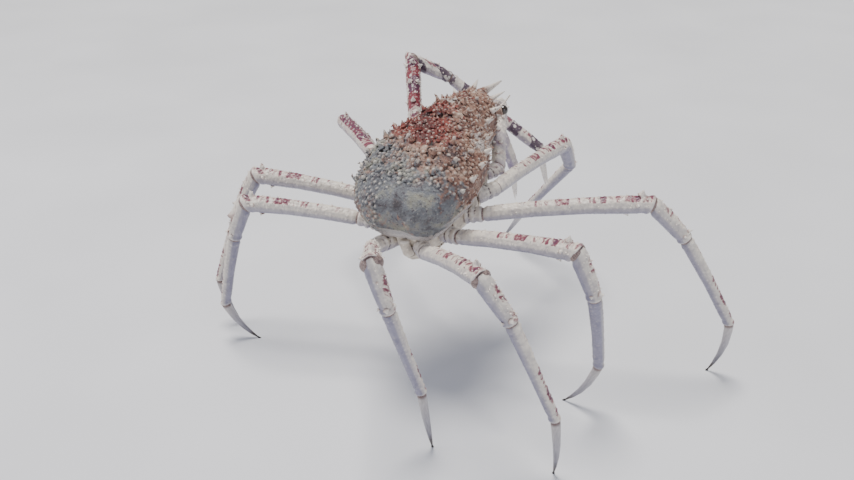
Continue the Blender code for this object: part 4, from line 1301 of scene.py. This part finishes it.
class CRAB_OT_underside(bpy.types.Operator):
    """Dress the breast plates and the tail flap with their seams"""
    bl_idname = "crab.underside"
    bl_label = "Underside"

    def execute(self, context):
        plate = under_shell(looks())
        breast = remeshed("sternum", "breast_plates", 0.0014)
        left, forward, up = body_places(breast)
        seams = sum(hump(forward - 0.35 * abs(left), at, 0.007)
                    for at in (-0.30, -0.20, -0.09, 0.02, 0.12))
        raise_surface(breast, -0.0020 * seams * (abs(left) > 0.05) - 0.0016 * hump(left, 0, 0.006))
        grains(breast, 500, spacing=0.0050, radius=0.0020, height=0.0005, seed=71,
               allowed=up < up.mean())
        relief(breast)
        settle(breast, "sternum", slot="under_shell", material=plate)
        flap = remeshed("abdomen", "tail_flap", 0.0011)
        left, forward, up = body_places(flap)
        place = forward - up
        seams = sum(hump(place, at, 0.006) for at in np.linspace(place.min(), place.max(), 8)[1:-1])
        raise_surface(flap, -0.0014 * seams + 0.0012 * hump(left, 0, 0.02))
        grains(flap, 200, spacing=0.0046, radius=0.0018, height=0.0004, seed=73,
               allowed=np.ones(len(left), bool))
        relief(flap)
        settle(flap, "abdomen", slot="under_shell", material=plate)
        return {"FINISHED"}


class CRAB_OT_stage(bpy.types.Operator):
    """Set the pale floor, the soft lights and the camera at the photograph's place"""
    bl_idname = "crab.stage"
    bl_label = "Stage"

    def execute(self, context):
        stage = context.scene.crab_stage
        bpy.ops.object.select_all(action="DESELECT")
        bpy.ops.mesh.primitive_plane_add(size=60, location=(0, 0, -0.0002))
        floor = context.object
        floor.name = "floor"
        apply_place(floor)
        material, tree, shader = new_material("matte_studio_floor")
        coord = put(tree, "TexCoord").outputs["Object"]
        tone = put(tree, "TexNoise", {"Vector": coord, "Scale": 3, "Detail": 2})
        colour = put(tree, "ValToRGB", {"Fac": tone},
                     stops=[(0.3, "#DCDDE0"), (0.7, "#E4E5E8")])
        feed(tree, shader, {"Base Color": colour, "Roughness": 0.85})
        floor.data.materials.append(material)
        self.add_lights(context)
        self.add_camera(context, stage)
        return {"FINISHED"}

    @staticmethod
    def add_lights(context):
        """A broad soft key from overhead, a cool fill beside the camera, and a low rim light."""
        for name, kind, place, size, power, colour in (
                ("key_light", "SUN", (0.35, -0.10, 2.0), math.radians(24), 3.8, "#FFFBF6"),
                ("fill_light", "AREA", (-1.9, 1.3, 1.2), 1.6, 12, "#E2E9FF"),
                ("rim_light", "AREA", (1.6, 1.0, 1.3), 1.0, 10, "#F2F0FF")):
            bpy.ops.object.light_add(type=kind, location=place)
            light = context.object
            light.name = name
            setattr(light.data, "angle" if kind == "SUN" else "size", size)
            light.data.energy = power
            light.data.color = linear(colour)[:3]
            towards = Vector((0, 0, 0.15)) - Vector(place)
            light.rotation_euler = towards.to_track_quat("-Z", "Y").to_euler()
        world = bpy.data.worlds.new("studio_air")
        world.use_nodes = True
        air = next(n for n in world.node_tree.nodes if n.type == "BACKGROUND")
        air.inputs["Color"].default_value = linear("#DDE3EE")
        air.inputs["Strength"].default_value = 0.40
        context.scene.world = world

    @staticmethod
    def add_camera(context, stage):
        turn, drop = stage.camera_turn, stage.camera_drop
        back = Vector((math.sin(turn) * math.cos(drop), -math.cos(turn) * math.cos(drop),
                       math.sin(drop)))
        data = bpy.data.cameras.new("photo_camera")
        data.sensor_width = 36
        data.lens = stage.focal
        camera = new_object("photo_camera", data)
        camera.location = stage.camera_place
        camera.rotation_euler = back.to_track_quat("Z", "Y").to_euler()
        context.scene.camera = camera


GROUPS = {"crab_looks": CrabLooks, "crab_sizes": CrabSizes, "crab_stage": CrabStage}
OPERATORS = (CRAB_OT_back_shell, CRAB_OT_shell_spines, CRAB_OT_walking_legs, CRAB_OT_claws,
             CRAB_OT_limb_spines, CRAB_OT_joint_skins, CRAB_OT_eyes, CRAB_OT_feelers,
             CRAB_OT_mouth, CRAB_OT_underside, CRAB_OT_stage)


class CRAB_PT_panel(bpy.types.Panel):
    """Lists the crab's pieces in the order in which they are made"""
    bl_idname = "CRAB_PT_panel"
    bl_label = "Japanese Spider Crab"
    bl_space_type = "VIEW_3D"
    bl_region_type = "UI"
    bl_category = "Spider Crab"

    def draw(self, context):
        for group_name in GROUPS:
            group = getattr(context.scene, group_name)
            box = self.layout.box()
            for name in group.__annotations__:
                box.prop(group, name)
        for operator in OPERATORS:
            self.layout.operator(operator.bl_idname)


CLASSES = (*GROUPS.values(), *OPERATORS, CRAB_PT_panel)


def register():
    for kind in CLASSES:
        bpy.utils.register_class(kind)
    for name, group in GROUPS.items():
        setattr(bpy.types.Scene, name, bpy.props.PointerProperty(type=group))


def unregister():
    for name in GROUPS:
        delattr(bpy.types.Scene, name)
    for kind in reversed(CLASSES):
        bpy.utils.unregister_class(kind)


def main():
    register()
    for operator in OPERATORS:
        group, name = operator.bl_idname.split(".")
        getattr(getattr(bpy.ops, group), name)()


if __name__ == "__main__":
    main()
